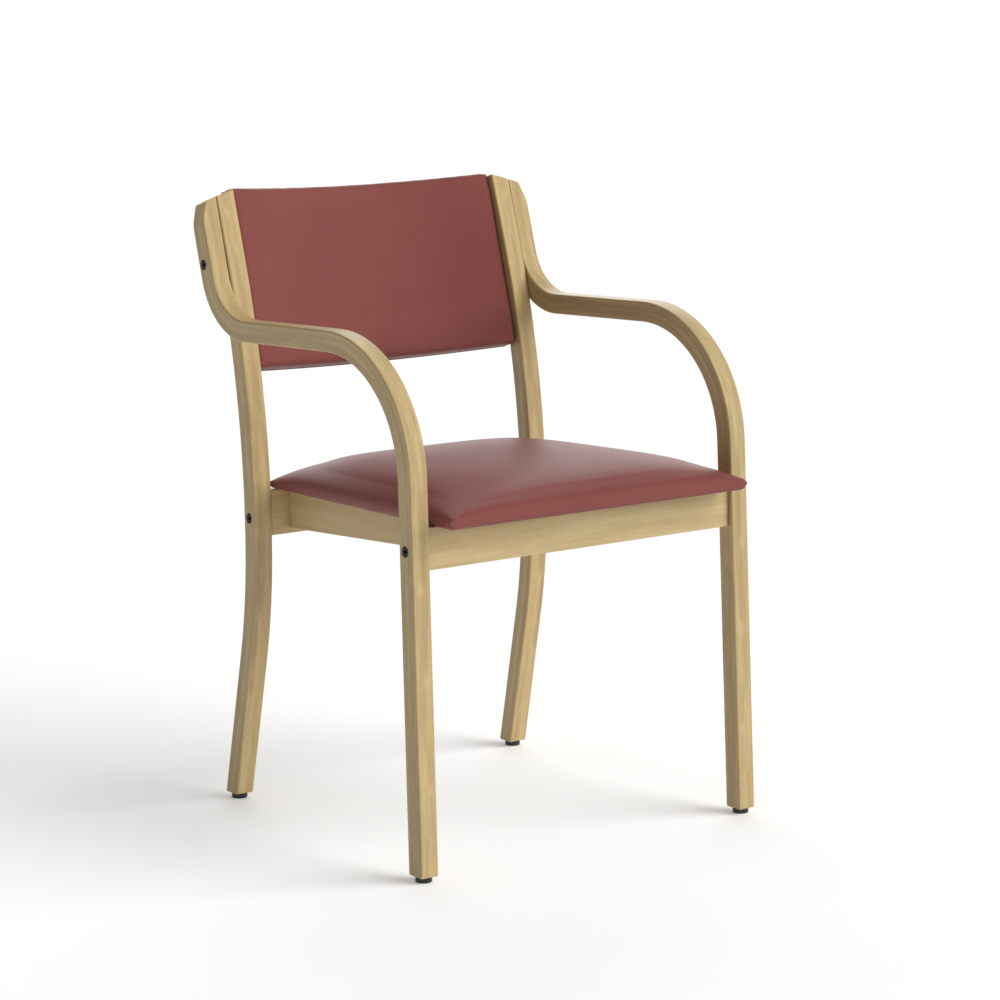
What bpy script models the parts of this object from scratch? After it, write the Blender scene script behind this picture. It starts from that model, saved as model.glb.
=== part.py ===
"""Laminated beech hospital armchair with an upholstered seat pad and back pad.

Metres, +Z up. The chair faces -Y and is symmetric about X = 0. Z = 0 is the floor.
The sitter's right side is at -X. Each side is two laminated members glued and bolted
face to face: an outer one (front leg, arm and upturned end) and an inner one (back leg).
"""
import math

import bmesh
import bpy
from mathutils import Matrix, Vector

# ---------------------------------------------------------------- driving dimensions
GAP = 0.0003                 # clearance left between touching pieces
DEPTH_CENTRE = 0.2863        # distance from the front foot to the middle of the chair's depth

HALF_WIDTH = 0.2820          # outer faces of the arms
ARM_WIDTH = 0.0278           # widths of the two laminated members, along X
LEG_WIDTH = 0.0289
ARM_THICKNESS = 0.0287       # stack of laminations in the leg-and-arm member
LEG_THICKNESS = 0.0267       # stack of laminations in the back leg
MEMBER_EDGE = 0.0025         # rounding along the members' edges
LEG_BOTTOM = 0.0075          # underside of the legs, above the floor
SPLAY = 0.007                # how much each side frame leans in, per unit of height
SPLAY_PIVOT = 0.443          # height at which the widths above are exact

SHOULDER_RADIUS = 0.185      # outer face of the bend from front leg to arm
ELBOW_RADIUS = 0.078         # upper face of the bend from arm to upturned end
FOOT_BEND_RADIUS = 0.775     # back leg, swept foot to upright
BACK_BEND_RADIUS = 1.329     # back leg, upright to reclined

TOP_HEIGHT = 0.8565          # inner corner of the back legs' top ends
TOP_SLOPE = math.radians(16.5)
TOP_CORNER_RADIUS = 0.008
TOP_TAPER = 0.0095           # how far the outer face is drawn in at the top end
TOP_TAPER_HEIGHT = 0.0280
TOP_TAPER_RADIUS = 0.060
RECLINE = math.radians(17.66)

RAIL_THICKNESS = 0.020
SIDE_RAIL_THICKNESS = 0.018
SIDE_RAIL_OUTER = 0.1945     # X of the side rails' outer faces
FRONT_RAIL_HEIGHT = 0.0555
REAR_RAIL_HEIGHT = 0.0635
SIDE_RAIL_FRONT_HEIGHT = 0.0435
SIDE_RAIL_REAR_HEIGHT = 0.0565
REAR_RAIL_AT = 0.4080        # front rail's front face to rear rail's front face
SEAT_TILT = math.atan(0.030)
SEAT_FRAME_Y = 0.0298        # front rail's front face, behind the front foot
SEAT_FRAME_Z = 0.4600        # top of the front rail's front edge
BLOCK_LEG = 0.055
BLOCK_TOP = -0.004
BLOCK_HEIGHT = 0.028

BOARD_THICKNESS = 0.012
COVER_THICKNESS = 0.0012
PAD_FRONT = -0.0485          # seat pad's front and rear, in the seat frame
PAD_REAR = 0.4240
PAD_FRONT_HALF = 0.2515
PAD_REAR_HALF = 0.2208
PAD_SIDE = 0.024             # top edge of the pad's sides, before its corners soften
PAD_CROWN = 0.050
FLANGE = 0.030               # width of cover turned in under the board

BACK_HALF = 0.2218           # half width of the back pad
BACK_BOTTOM_Y = 0.4572       # lower front edge of the back pad at its ends
BACK_BOTTOM_Z = 0.6146
BACK_HEIGHT = 0.2545
BACK_TILT = math.radians(15.9)
BACK_THICKNESS = 0.033
BACK_SAGITTA = 0.034         # how far the middle is set back from the ends
BACK_RADIUS = (BACK_HALF ** 2 + BACK_SAGITTA ** 2) / (2 * BACK_SAGITTA)
SHELL_FRONT = 0.0205         # depth of the plywood shell behind the pad's front surface
SHELL_THICKNESS = 0.0095
BATTEN_WIDTH = 0.0205
BACK_EDGE = 0.006            # rounding of the back pad's front edges

BOLT_RADIUS = 0.0030
BOLT_HEAD_RADIUS = 0.0065
BOLT_HEAD_HEIGHT = 0.0048
COUNTERBORE_RADIUS = 0.0074
COUNTERBORE_DEPTH = 0.0056
CLEAR_RADIUS = 0.0033
BARREL_RADIUS = 0.0050
BARREL_LENGTH = 0.0160
DOWEL_RADIUS = 0.0040
DOWEL_LENGTH = 0.0300
INSERT_RADIUS = 0.0045
INSERT_LENGTH = 0.0130
GLIDE_RADIUS = 0.0110
GLIDE_HEIGHT = LEG_BOTTOM - GAP
SCREW_RADIUS = 0.0018
SCREW_HEAD_RADIUS = 0.0036
GLIDE_SCREW_LENGTH = 0.020
SEAT_SCREW_LENGTH = 0.038

FRONT_BOLT = (0.0086, -0.0290)      # across and up the front rail's end, in the seat frame
REAR_BOLT = (REAR_RAIL_AT + 0.0115, -0.0375)
BACK_BOLT_UP = 0.1515               # up the back pad from its lower edge
BACK_BOLT_IN = 0.0160               # behind the pad's front edge
BACK_DOWEL_UP = 0.0600

ROUND_STEPS = 14
SIDES = (("right", -1), ("left", 1))

INNER_FACE = HALF_WIDTH - ARM_WIDTH                   # arm member's inner face
LEG_OUTER = INNER_FACE - GAP
LEG_INNER = LEG_OUTER - LEG_WIDTH

# Corner points of the members' faces in the side plane, (y from the front foot, z)
LEG_RAKE = 0.0505
FRONT_FACE = ((LEG_RAKE * LEG_BOTTOM, LEG_BOTTOM), (0.0355, 0.7035), (0.4746, 0.6854))
UPRIGHT_Y = 0.4325
FOOT_SWEEP = math.radians(11.2)
FOOT_CORNER_Z = 0.2817
BACK_CORNER_Z = 0.5644


# ---------------------------------------------------------------- scene helpers
def start_empty():
    for item in list(bpy.data.objects):
        bpy.data.objects.remove(item, do_unlink=True)
    for name in ("armchair", "cutters"):
        collection = bpy.data.collections.new(name)
        bpy.context.scene.collection.children.link(collection)


def material(name, colour, roughness, metallic=0.0):
    found = bpy.data.materials.get(name)
    if found:
        return found
    made = bpy.data.materials.new(name)
    made.use_nodes = True
    shader = made.node_tree.nodes["Principled BSDF"]
    shader.inputs["Base Color"].default_value = (*colour, 1.0)
    shader.inputs["Roughness"].default_value = roughness
    shader.inputs["Metallic"].default_value = metallic
    return made


def finishes():
    """The chair's finishes, by name."""
    return {
        "beech": material("lacquered_beech", (0.56, 0.43, 0.23), 0.45),
        "ply": material("birch_plywood", (0.60, 0.47, 0.28), 0.60),
        "vinyl": material("wine_vinyl", (0.21, 0.055, 0.050), 0.38),
        "foam": material("seat_foam", (0.80, 0.76, 0.62), 0.95),
        "dust": material("black_nonwoven", (0.015, 0.015, 0.016), 0.95),
        "bolt": material("black_oxide_steel", (0.02, 0.02, 0.02), 0.40, 0.8),
        "zinc": material("zinc_steel", (0.55, 0.55, 0.53), 0.35, 1.0),
        "glide": material("black_nylon", (0.012, 0.012, 0.012), 0.50),
    }


def add(name, mesh, finish=None, parent=None, location=(0, 0, 0), rotation=(0, 0, 0)):
    """A piece of the chair, or a cutter when it has no finish."""
    piece = bpy.data.objects.new(name, mesh)
    piece.parent = parent
    piece.location = location
    piece.rotation_euler = rotation
    if finish:
        bpy.data.collections["armchair"].objects.link(piece)
        mesh.materials.clear()
        mesh.materials.append(finish)
    else:
        bpy.data.collections["cutters"].objects.link(piece)
        piece.hide_render = True
        piece.display_type = "WIRE"
    return piece


def empty(name, location, rotation):
    """A guide, turned to carry pieces placed in its own axes."""
    guide = bpy.data.objects.new(name, None)
    bpy.data.collections["armchair"].objects.link(guide)
    guide.location = location
    guide.rotation_euler = rotation
    bpy.context.view_layer.update()
    return guide


def mesh_from(shape, name, smooth_angle=30):
    mesh = bpy.data.meshes.new(name)
    bmesh.ops.recalc_face_normals(shape, faces=shape.faces)
    shape.to_mesh(mesh)
    shape.free()
    mesh.shade_smooth()
    mesh.set_sharp_from_angle(angle=math.radians(smooth_angle))
    return mesh


def box(name, low, high):
    shape = bmesh.new()
    bmesh.ops.create_cube(shape, size=1.0)
    centre = (Vector(low) + Vector(high)) / 2
    size = Vector(high) - Vector(low)
    bmesh.ops.scale(shape, vec=size, verts=shape.verts)
    bmesh.ops.translate(shape, vec=centre, verts=shape.verts)
    return mesh_from(shape, name)


def cylinder(name, radius, low, high, sides=ROUND_STEPS):
    """A cylinder on local Z from low to high."""
    shape = bmesh.new()
    bmesh.ops.create_cone(shape, cap_ends=True, segments=sides, radius1=radius,
                          radius2=radius, depth=high - low)
    bmesh.ops.translate(shape, vec=(0, 0, (low + high) / 2), verts=shape.verts)
    return mesh_from(shape, name)


def extruded(name, outline, half_depth):
    """A flat outline made solid, half_depth each way along local Z."""
    curve = bpy.data.curves.new(name, "CURVE")
    curve.dimensions = "2D"
    curve.fill_mode = "BOTH"
    curve.extrude = half_depth
    spline = curve.splines.new("POLY")
    spline.points.add(len(outline) - 1)
    for point, (u, v) in zip(spline.points, outline):
        point.co = (u, v, 0, 1)
    spline.use_cyclic_u = True
    holder = bpy.data.objects.new(name, curve)
    bpy.context.scene.collection.objects.link(holder)
    graph = bpy.context.evaluated_depsgraph_get()
    flat = bpy.data.meshes.new_from_object(holder.evaluated_get(graph))
    bpy.data.objects.remove(holder, do_unlink=True)
    bpy.data.curves.remove(curve)
    shape = bmesh.new()
    shape.from_mesh(flat)
    bpy.data.meshes.remove(flat)
    bmesh.ops.remove_doubles(shape, verts=shape.verts, dist=0.00001)
    bmesh.ops.dissolve_limit(shape, angle_limit=math.radians(0.5), verts=shape.verts,
                             edges=shape.edges)
    return mesh_from(shape, name)


def round_edges(piece, width, segments=2, angle=40):
    bevel = piece.modifiers.new("edges", "BEVEL")
    bevel.width = width
    bevel.segments = segments
    bevel.limit_method = "ANGLE"
    bevel.angle_limit = math.radians(angle)


def cut(piece, cutter):
    boolean = piece.modifiers.new(cutter.name, "BOOLEAN")
    boolean.operation = "DIFFERENCE"
    boolean.solver = "EXACT"
    boolean.object = cutter


def turned(name, profile, finish, steps=ROUND_STEPS, **place):
    """A turned piece: the profile's (radius, height) points run down its outer side."""
    shape = bmesh.new()
    row = [shape.verts.new((radius, 0, height)) for radius, height in profile]
    for first, second in zip(row, row[1:]):
        shape.edges.new((first, second))
    mesh = bpy.data.meshes.new(name)
    shape.to_mesh(mesh)
    shape.free()
    piece = add(name, mesh, finish, **place)
    screw = piece.modifiers.new("turn", "SCREW")
    screw.steps = steps
    screw.render_steps = steps
    screw.use_merge_vertices = True
    screw.merge_threshold = 0.00001
    screw.use_smooth_shade = True
    return piece


# ---------------------------------------------------------------- outlines
def line_through(start, end, offset):
    """A line moved offset to its right, as a point and a direction."""
    start, end = Vector(start), Vector(end)
    direction = (end - start).normalized()
    return start + offset * Vector((direction.y, -direction.x)), direction


def meet(first, second):
    """Where two lines cross."""
    (p, d), (q, e) = first, second
    along = ((q.x - p.x) * e.y - (q.y - p.y) * e.x) / (d.x * e.y - d.y * e.x)
    return p + along * d


def offset_corners(corners, offset):
    """The same path moved offset to its right, with mitred corners."""
    lines = [line_through(a, b, offset) for a, b in zip(corners, corners[1:])]
    inner = [meet(a, b) for a, b in zip(lines, lines[1:])]
    last_point, last_direction = lines[-1]
    length = (Vector(corners[-1]) - Vector(corners[-2])).length
    return [lines[0][0], *inner, last_point + length * last_direction]


def rounded_path(corners, radii, step_degrees):
    """Points along straight runs joined by arcs, one radius for each inner corner."""
    corners = [Vector(corner) for corner in corners]
    points = [corners[0]]
    for before, corner, after, radius in zip(corners, corners[1:], corners[2:], radii):
        back = (before - corner).normalized()
        onward = (after - corner).normalized()
        turn = math.pi - back.angle(onward)
        setback = radius * math.tan(turn / 2)
        centre = corner + (back + onward).normalized() * (radius / math.cos(turn / 2))
        start = corner + back * setback - centre
        side = 1 if start.x * onward.y - start.y * onward.x > 0 else -1
        steps = max(2, math.ceil(math.degrees(turn) / step_degrees))
        for number in range(steps + 1):
            angle = side * turn * number / steps
            points.append(centre + Matrix.Rotation(angle, 2) @ start)
    points.append(corners[-1])
    return points


def member_outline(corners, radii, thickness, step_degrees):
    """Outline of a bent member whose front or upper face follows the corners.

    Its second face lies thickness to the right of the first. A bend to the right has
    its smaller radius on the second face, and a bend to the left on the first. The
    foot is cut level.
    """
    second = offset_corners(corners, thickness)
    lead = second[1] - second[0]
    second[0] = second[0] + lead * ((LEG_BOTTOM - second[0].y) / lead.y)
    second_radii = []
    for before, corner, after, radius in zip(corners, corners[1:], corners[2:], radii):
        first_leg = Vector(corner) - Vector(before)
        next_leg = Vector(after) - Vector(corner)
        right = first_leg.x * next_leg.y - first_leg.y * next_leg.x < 0
        second_radii.append(radius - thickness if right else radius + thickness)
    front = rounded_path(corners, radii, step_degrees)
    rear = rounded_path(second, second_radii, step_degrees)
    outline = front + rear[::-1]
    return [(point.x - DEPTH_CENTRE, point.y) for point in outline]


def back_face_y(z):
    """Front face of the reclined part of the back leg."""
    return UPRIGHT_Y + (z - BACK_CORNER_Z) * math.tan(RECLINE)


def back_arc(depth, from_x, to_x, steps):
    """Points of the back pad's curve, depth behind its front surface."""
    centre_y = BACK_SAGITTA - BACK_RADIUS
    radius = BACK_RADIUS + depth
    points = []
    for number in range(steps + 1):
        x = from_x + (to_x - from_x) * number / steps
        points.append((x, centre_y + math.sqrt(radius ** 2 - x ** 2)))
    return points


def back_slab(front, rear, low_x, high_x, steps=12):
    """Outline of a curved layer of the back pad."""
    return back_arc(front, low_x, high_x, steps) + back_arc(rear, high_x, low_x, steps)


# ---------------------------------------------------------------- cutters
def across(name, radius, side, from_x, to_x, height, parent=None, steps=ROUND_STEPS):
    """A round cutter along X, from from_x to to_x on one side of the chair."""
    low, high = sorted((side * from_x, side * to_x))
    mesh = cylinder(name, radius, low, high, steps)
    y, z = height
    return add(name, mesh, parent=parent, location=(0, y, z), rotation=(0, math.pi / 2, 0))


def top_cutter():
    """Cuts the members' top ends: a slope down to the outside, then a long round shoulder."""
    reach = 0.060
    slope = math.tan(TOP_SLOPE)
    shoulder_x = HALF_WIDTH - TOP_TAPER
    shoulder_z = (LEG_INNER - shoulder_x) * slope
    corners = [(LEG_INNER - reach, reach * slope), (shoulder_x, shoulder_z),
               (HALF_WIDTH, shoulder_z - TOP_TAPER_HEIGHT), (HALF_WIDTH + GAP, -2 * reach)]
    outline = rounded_path(corners, [TOP_CORNER_RADIUS, TOP_TAPER_RADIUS], 15)
    outline += [Vector((HALF_WIDTH + reach, -2 * reach)), Vector((HALF_WIDTH + reach, 2 * reach)),
                Vector((LEG_INNER - reach, 2 * reach))]
    return [(point.x, point.y) for point in outline]


# ---------------------------------------------------------------- side frames
def side_frames(look):
    """Both members of each side, with their bolt, dowel and screw holes."""
    tip = back_face_y(TOP_HEIGHT + 0.050)
    arm_corners = (*FRONT_FACE, (tip, TOP_HEIGHT + 0.050))
    arm = member_outline(arm_corners, (SHOULDER_RADIUS, ELBOW_RADIUS), ARM_THICKNESS, 8)
    foot_y = UPRIGHT_Y + (FOOT_CORNER_Z - LEG_BOTTOM) * math.tan(FOOT_SWEEP)
    leg_corners = ((foot_y, LEG_BOTTOM), (UPRIGHT_Y, FOOT_CORNER_Z),
                   (UPRIGHT_Y, BACK_CORNER_Z), (tip, TOP_HEIGHT + 0.050))
    leg = member_outline(leg_corners, (FOOT_BEND_RADIUS, BACK_BEND_RADIUS), LEG_THICKNESS, 2.5)
    upright = (math.pi / 2, 0, math.pi / 2)
    frames = {}
    for hand, side in SIDES:
        guide = empty("side_frame_" + hand, (side * HALF_WIDTH, 0, SPLAY_PIVOT),
                      (0, -side * math.atan(SPLAY), 0))
        arm_x = -side * ARM_WIDTH / 2
        leg_x = -side * (ARM_WIDTH + GAP + LEG_WIDTH / 2)
        arm_z = SPLAY * abs(arm_x) - SPLAY_PIVOT
        leg_z = SPLAY * abs(leg_x) - SPLAY_PIVOT
        outer = add("front_leg_arm_" + hand, extruded("arm_" + hand, arm, ARM_WIDTH / 2),
                    look["beech"], guide, (arm_x, 0, arm_z), upright)
        inner = add("back_leg_" + hand, extruded("leg_" + hand, leg, LEG_WIDTH / 2),
                    look["beech"], guide, (leg_x, 0, leg_z), upright)
        top = [(side * x, z) for x, z in top_cutter()]
        middle = (-side * HALF_WIDTH, back_face_y(TOP_HEIGHT) - DEPTH_CENTRE,
                  TOP_HEIGHT - SPLAY_PIVOT)
        lean = add("top_end_" + hand, extruded("top_end_" + hand, top, 0.100), None, guide,
                   middle, (math.pi / 2 - RECLINE, 0, 0))
        for member in (outer, inner):
            cut(member, lean)
            round_edges(member, MEMBER_EDGE)
        frames[hand] = (outer, inner)
    return frames


def foot_centre(corners_y, lean, thickness):
    """Middle of a leg's underside, from its front edge."""
    return corners_y + thickness / math.cos(lean) / 2 - DEPTH_CENTRE


def glides(look, frames):
    """A nylon glide and its countersunk screw under each leg."""
    front_y = foot_centre(LEG_RAKE * LEG_BOTTOM, math.atan(LEG_RAKE), ARM_THICKNESS)
    rear_edge = UPRIGHT_Y + (FOOT_CORNER_Z - LEG_BOTTOM) * math.tan(FOOT_SWEEP)
    rear_y = foot_centre(rear_edge, FOOT_SWEEP, LEG_THICKNESS)
    hole = SCREW_RADIUS + GAP
    recess = SCREW_HEAD_RADIUS + GAP
    pad = ((hole, GLIDE_HEIGHT), (GLIDE_RADIUS - 0.0012, GLIDE_HEIGHT),
           (GLIDE_RADIUS, GLIDE_HEIGHT - 0.0012), (GLIDE_RADIUS, 0.0014),
           (GLIDE_RADIUS - 0.0014, 0), (recess, 0), (recess, 0.0020), (hole, 0.0036),
           (hole, GLIDE_HEIGHT))
    seat = 0.0020
    screw = ((0, GLIDE_SCREW_LENGTH), (SCREW_RADIUS, GLIDE_SCREW_LENGTH - 0.004),
             (SCREW_RADIUS, seat + 0.0016 - GAP), (SCREW_HEAD_RADIUS, seat - GAP),
             (SCREW_HEAD_RADIUS, 0.0008), (0, 0.0008))
    for hand, side in SIDES:
        outer, inner = frames[hand]
        for end, member, x, y in (("front", outer, (INNER_FACE + HALF_WIDTH) / 2, front_y),
                                  ("rear", inner, (LEG_INNER + LEG_OUTER) / 2, rear_y)):
            place = (side * (x + SPLAY * SPLAY_PIVOT), y, 0)
            turned("glide_%s_%s" % (end, hand), pad, look["glide"], location=place)
            turned("glide_screw_%s_%s" % (end, hand), screw, look["zinc"], 10, location=place)
            pilot = cylinder("pilot", hole, LEG_BOTTOM - 0.002, GLIDE_SCREW_LENGTH + 0.002, 10)
            cut(member, add("pilot_%s_%s" % (end, hand), pilot, location=place))


# ---------------------------------------------------------------- fasteners
def bolt(name, length, look, side, face_x, height, parent=None):
    """A socket-head bolt lying along X, its head just inside the counterbore."""
    under = -COUNTERBORE_DEPTH + GAP
    top = under + BOLT_HEAD_HEIGHT
    profile = ((0, top), (BOLT_HEAD_RADIUS - 0.0008, top), (BOLT_HEAD_RADIUS, top - 0.0008),
               (BOLT_HEAD_RADIUS, under), (BOLT_RADIUS, under),
               (BOLT_RADIUS, top - length + 0.001), (BOLT_RADIUS - 0.001, top - length),
               (0, top - length))
    y, z = height
    place = {"parent": parent, "location": (side * face_x, y, z),
             "rotation": (0, side * math.pi / 2, 0)}
    piece = turned(name, profile, look["bolt"], **place)
    socket = cylinder("socket_" + name, 0.0023, top - 0.0028, top + 0.002, 6)
    cut(piece, add("socket_" + name, socket, **place))
    return piece


def bolt_hole(hand, side, label, face_x, inner_x, height, parent=None):
    """A counterbored clearance hole from the outer face face_x in to inner_x."""
    y, z = height
    depth = face_x - inner_x
    shape = ((0, 0.010), (COUNTERBORE_RADIUS, 0.010), (COUNTERBORE_RADIUS, -COUNTERBORE_DEPTH),
             (CLEAR_RADIUS, -COUNTERBORE_DEPTH), (CLEAR_RADIUS, -depth), (0, -depth))
    cutter = turned("hole_%s_%s" % (label, hand), shape, None, 16, parent=parent,
                    location=(side * face_x, y, z), rotation=(0, side * math.pi / 2, 0))
    return cutter


def dowel(name, look, start, direction, parent, pieces):
    """A beech dowel, and its hole in each piece that it joins."""
    turn = {"x": (0, math.pi / 2, 0), "y": (-math.pi / 2, 0, 0)}[direction]
    half = DOWEL_LENGTH / 2
    add(name, cylinder(name, DOWEL_RADIUS, -half, half, 12), look["beech"], parent=parent,
        location=start, rotation=turn)
    hole = cylinder("hole_" + name, DOWEL_RADIUS + GAP, -half - 0.001, half + 0.001, 12)
    cutter = add("hole_" + name, hole, parent=parent, location=start, rotation=turn)
    for piece in pieces:
        cut(piece, cutter)


# ---------------------------------------------------------------- seat frame
def seat_frame(look, frames):
    """Four rails between the side frames, glued corner blocks, bolts and dowels."""
    guide = empty("seat_frame", (0, SEAT_FRAME_Y - DEPTH_CENTRE, SEAT_FRAME_Z),
                  (-SEAT_TILT, 0, 0))
    front_half = INNER_FACE - GAP
    rear_half = LEG_INNER - GAP
    front = add("front_rail", box("front_rail", (-front_half, 0, -FRONT_RAIL_HEIGHT),
                                  (front_half, RAIL_THICKNESS, 0)), look["beech"], guide)
    rear = add("rear_rail", box("rear_rail", (-rear_half, REAR_RAIL_AT, -REAR_RAIL_HEIGHT),
                                (rear_half, REAR_RAIL_AT + RAIL_THICKNESS, 0)),
               look["beech"], guide)
    for rail in (front, rear):
        round_edges(rail, 0.0015, 1)
    start, end = RAIL_THICKNESS + GAP, REAR_RAIL_AT - GAP
    outline = ((start, -SIDE_RAIL_FRONT_HEIGHT), (end, -SIDE_RAIL_REAR_HEIGHT), (end, 0), (start, 0))
    for hand, side in SIDES:
        middle = side * (SIDE_RAIL_OUTER - SIDE_RAIL_THICKNESS / 2)
        rail = add("side_rail_" + hand,
                   extruded("side_rail_" + hand, outline, SIDE_RAIL_THICKNESS / 2),
                   look["beech"], guide, (middle, 0, 0), (math.pi / 2, 0, math.pi / 2))
        round_edges(rail, 0.0015, 1)
        dowel("side_dowel_front_" + hand, look, (middle, start, -0.021), "y", guide, (front, rail))
        dowel("side_dowel_rear_" + hand, look, (middle, end, -0.026), "y", guide, (rear, rail))
        corner_blocks(look, guide, hand, side, start, end)
        outer, inner = frames[hand]
        rail_bolt(look, guide, hand, side, "front", front, outer, HALF_WIDTH, front_half,
                  FRONT_BOLT, FRONT_RAIL_HEIGHT)
        rail_bolt(look, guide, hand, side, "rear", rear, inner, LEG_OUTER, rear_half,
                  REAR_BOLT, REAR_RAIL_HEIGHT)
        for end_name, rail_piece, member, x, spot in (
                ("front", front, outer, front_half, FRONT_BOLT),
                ("rear", rear, inner, rear_half, REAR_BOLT)):
            level = (side * x, spot[0], spot[1] + 0.0185)
            dowel("rail_dowel_%s_%s" % (end_name, hand), look, level, "x", guide,
                  (rail_piece, member))
    return guide


def rail_bolt(look, guide, hand, side, end, rail, member, face_x, rail_x, spot, rail_height):
    """One bolt through a leg into an upright barrel nut near the rail's end."""
    length = face_x - rail_x + 0.034
    nut_x = rail_x - 0.026
    bolt("%s_rail_bolt_%s" % (end, hand), length, look, side, face_x, spot, guide)
    hole = bolt_hole(hand, side, end + "_rail", face_x, face_x - length - 0.003, spot, guide)
    cut(member, hole)
    cut(rail, hole)
    place = (side * nut_x, *spot)
    name = "barrel_nut_%s_%s" % (end, hand)
    half = BARREL_LENGTH / 2
    nut = add(name, cylinder(name, BARREL_RADIUS, -half, half), look["zinc"], guide, place)
    cut(nut, across("thread_" + name, CLEAR_RADIUS, side, nut_x - 0.010, nut_x + 0.010,
                    spot, guide, 12))
    below = rail_height + spot[1] + 0.005
    pocket = cylinder("pocket_" + name, BARREL_RADIUS + GAP, -below, half + GAP)
    cut(rail, add("pocket_" + name, pocket, None, guide, place))


def corner_blocks(look, guide, hand, side, start, end):
    """Triangular blocks glued into the corners between the side rails and the others."""
    inner = SIDE_RAIL_OUTER - SIDE_RAIL_THICKNESS - GAP
    for name, y, way in (("front", start, 1), ("rear", end, -1)):
        corner = (side * inner, y)
        along = (side * inner, y + way * BLOCK_LEG)
        acrossways = (side * (inner - BLOCK_LEG), y)
        nose = 0.012
        outline = [corner, (along[0], along[1]), (along[0] - side * nose, along[1]),
                   (acrossways[0], acrossways[1] + way * nose), acrossways]
        label = "corner_block_%s_%s" % (name, hand)
        middle_z = BLOCK_TOP - BLOCK_HEIGHT / 2
        block = add(label, extruded(label, outline, BLOCK_HEIGHT / 2), look["beech"], guide,
                    (0, 0, middle_z))
        seat_screw(look, guide, block, name, hand, side * (inner - 0.021), y + way * 0.021)


def seat_screw(look, guide, block, end, hand, x, y):
    """A screw up through a corner block into the seat board."""
    low = BLOCK_TOP - BLOCK_HEIGHT
    head = low - GAP
    profile = ((0, low + SEAT_SCREW_LENGTH), (SCREW_RADIUS, low + SEAT_SCREW_LENGTH - 0.004),
               (SCREW_RADIUS, head), (SCREW_HEAD_RADIUS + 0.001, head),
               (SCREW_HEAD_RADIUS, head - 0.0022), (0, head - 0.0026))
    name = "seat_screw_%s_%s" % (end, hand)
    turned(name, profile, look["zinc"], 10, parent=guide, location=(x, y, 0))
    hole = cylinder("hole_" + name, SCREW_RADIUS + GAP, low - 0.002,
                    low + SEAT_SCREW_LENGTH + 0.001, 10)
    cutter = add("hole_" + name, hole, parent=guide, location=(x, y, 0))
    cut(block, cutter)


# ---------------------------------------------------------------- seat pad
def pad_half(y):
    """Half width of the seat pad at a distance back in the seat frame."""
    share = (y - PAD_FRONT) / (PAD_REAR - PAD_FRONT)
    return PAD_FRONT_HALF + (PAD_REAR_HALF - PAD_FRONT_HALF) * share


def seat_outline(inset, radius=0.020):
    """The pad's outline in plan, drawn in by inset."""
    front, rear = PAD_FRONT + inset, PAD_REAR - inset
    corners = [(0, front), (pad_half(front) - inset, front), (pad_half(rear) - inset, rear),
               (0, rear)]
    half = rounded_path(corners, [radius, radius], 30)
    return [(p.x, p.y) for p in half] + [(-p.x, p.y) for p in half[-2:0:-1]]


def seat_form(inset, levels):
    """A crowned pad on a five by five cage with sides down to the levels, as a bmesh."""
    shape = bmesh.new()
    bmesh.ops.create_grid(shape, x_segments=5, y_segments=5, size=1.0)
    steps = (-1.0, -0.90, -0.40, 0.40, 0.90, 1.0)
    rise = (0.0, 0.42, 1.0, 1.0, 0.42, 0.0)
    crown = PAD_CROWN - inset
    top_edge = PAD_SIDE - inset
    for vertex in shape.verts:
        column = round((vertex.co.x + 1) * 2.5)
        row = round((vertex.co.y + 1) * 2.5)
        middle = (PAD_FRONT + PAD_REAR) / 2
        y = middle + steps[row] * ((PAD_REAR - PAD_FRONT) / 2 - inset)
        x = steps[column] * (pad_half(y) - inset)
        height = top_edge + (crown - top_edge) * rise[column] * rise[row]
        if 0 < column < 5 and 0 < row < 5:
            height += 0.006
        vertex.co = (x, y, height)
    crease = shape.edges.layers.float.new("crease_edge")
    rim = [edge for edge in shape.edges if edge.is_boundary]
    for level in levels:
        made = bmesh.ops.extrude_edge_only(shape, edges=rim)["geom"]
        rim = [item for item in made if isinstance(item, bmesh.types.BMEdge)
               and item.is_boundary]
        for vertex in {vertex for edge in rim for vertex in edge.verts}:
            vertex.co.z = level
    for edge in rim:
        edge[crease] = 1.0
    return shape, rim


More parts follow.
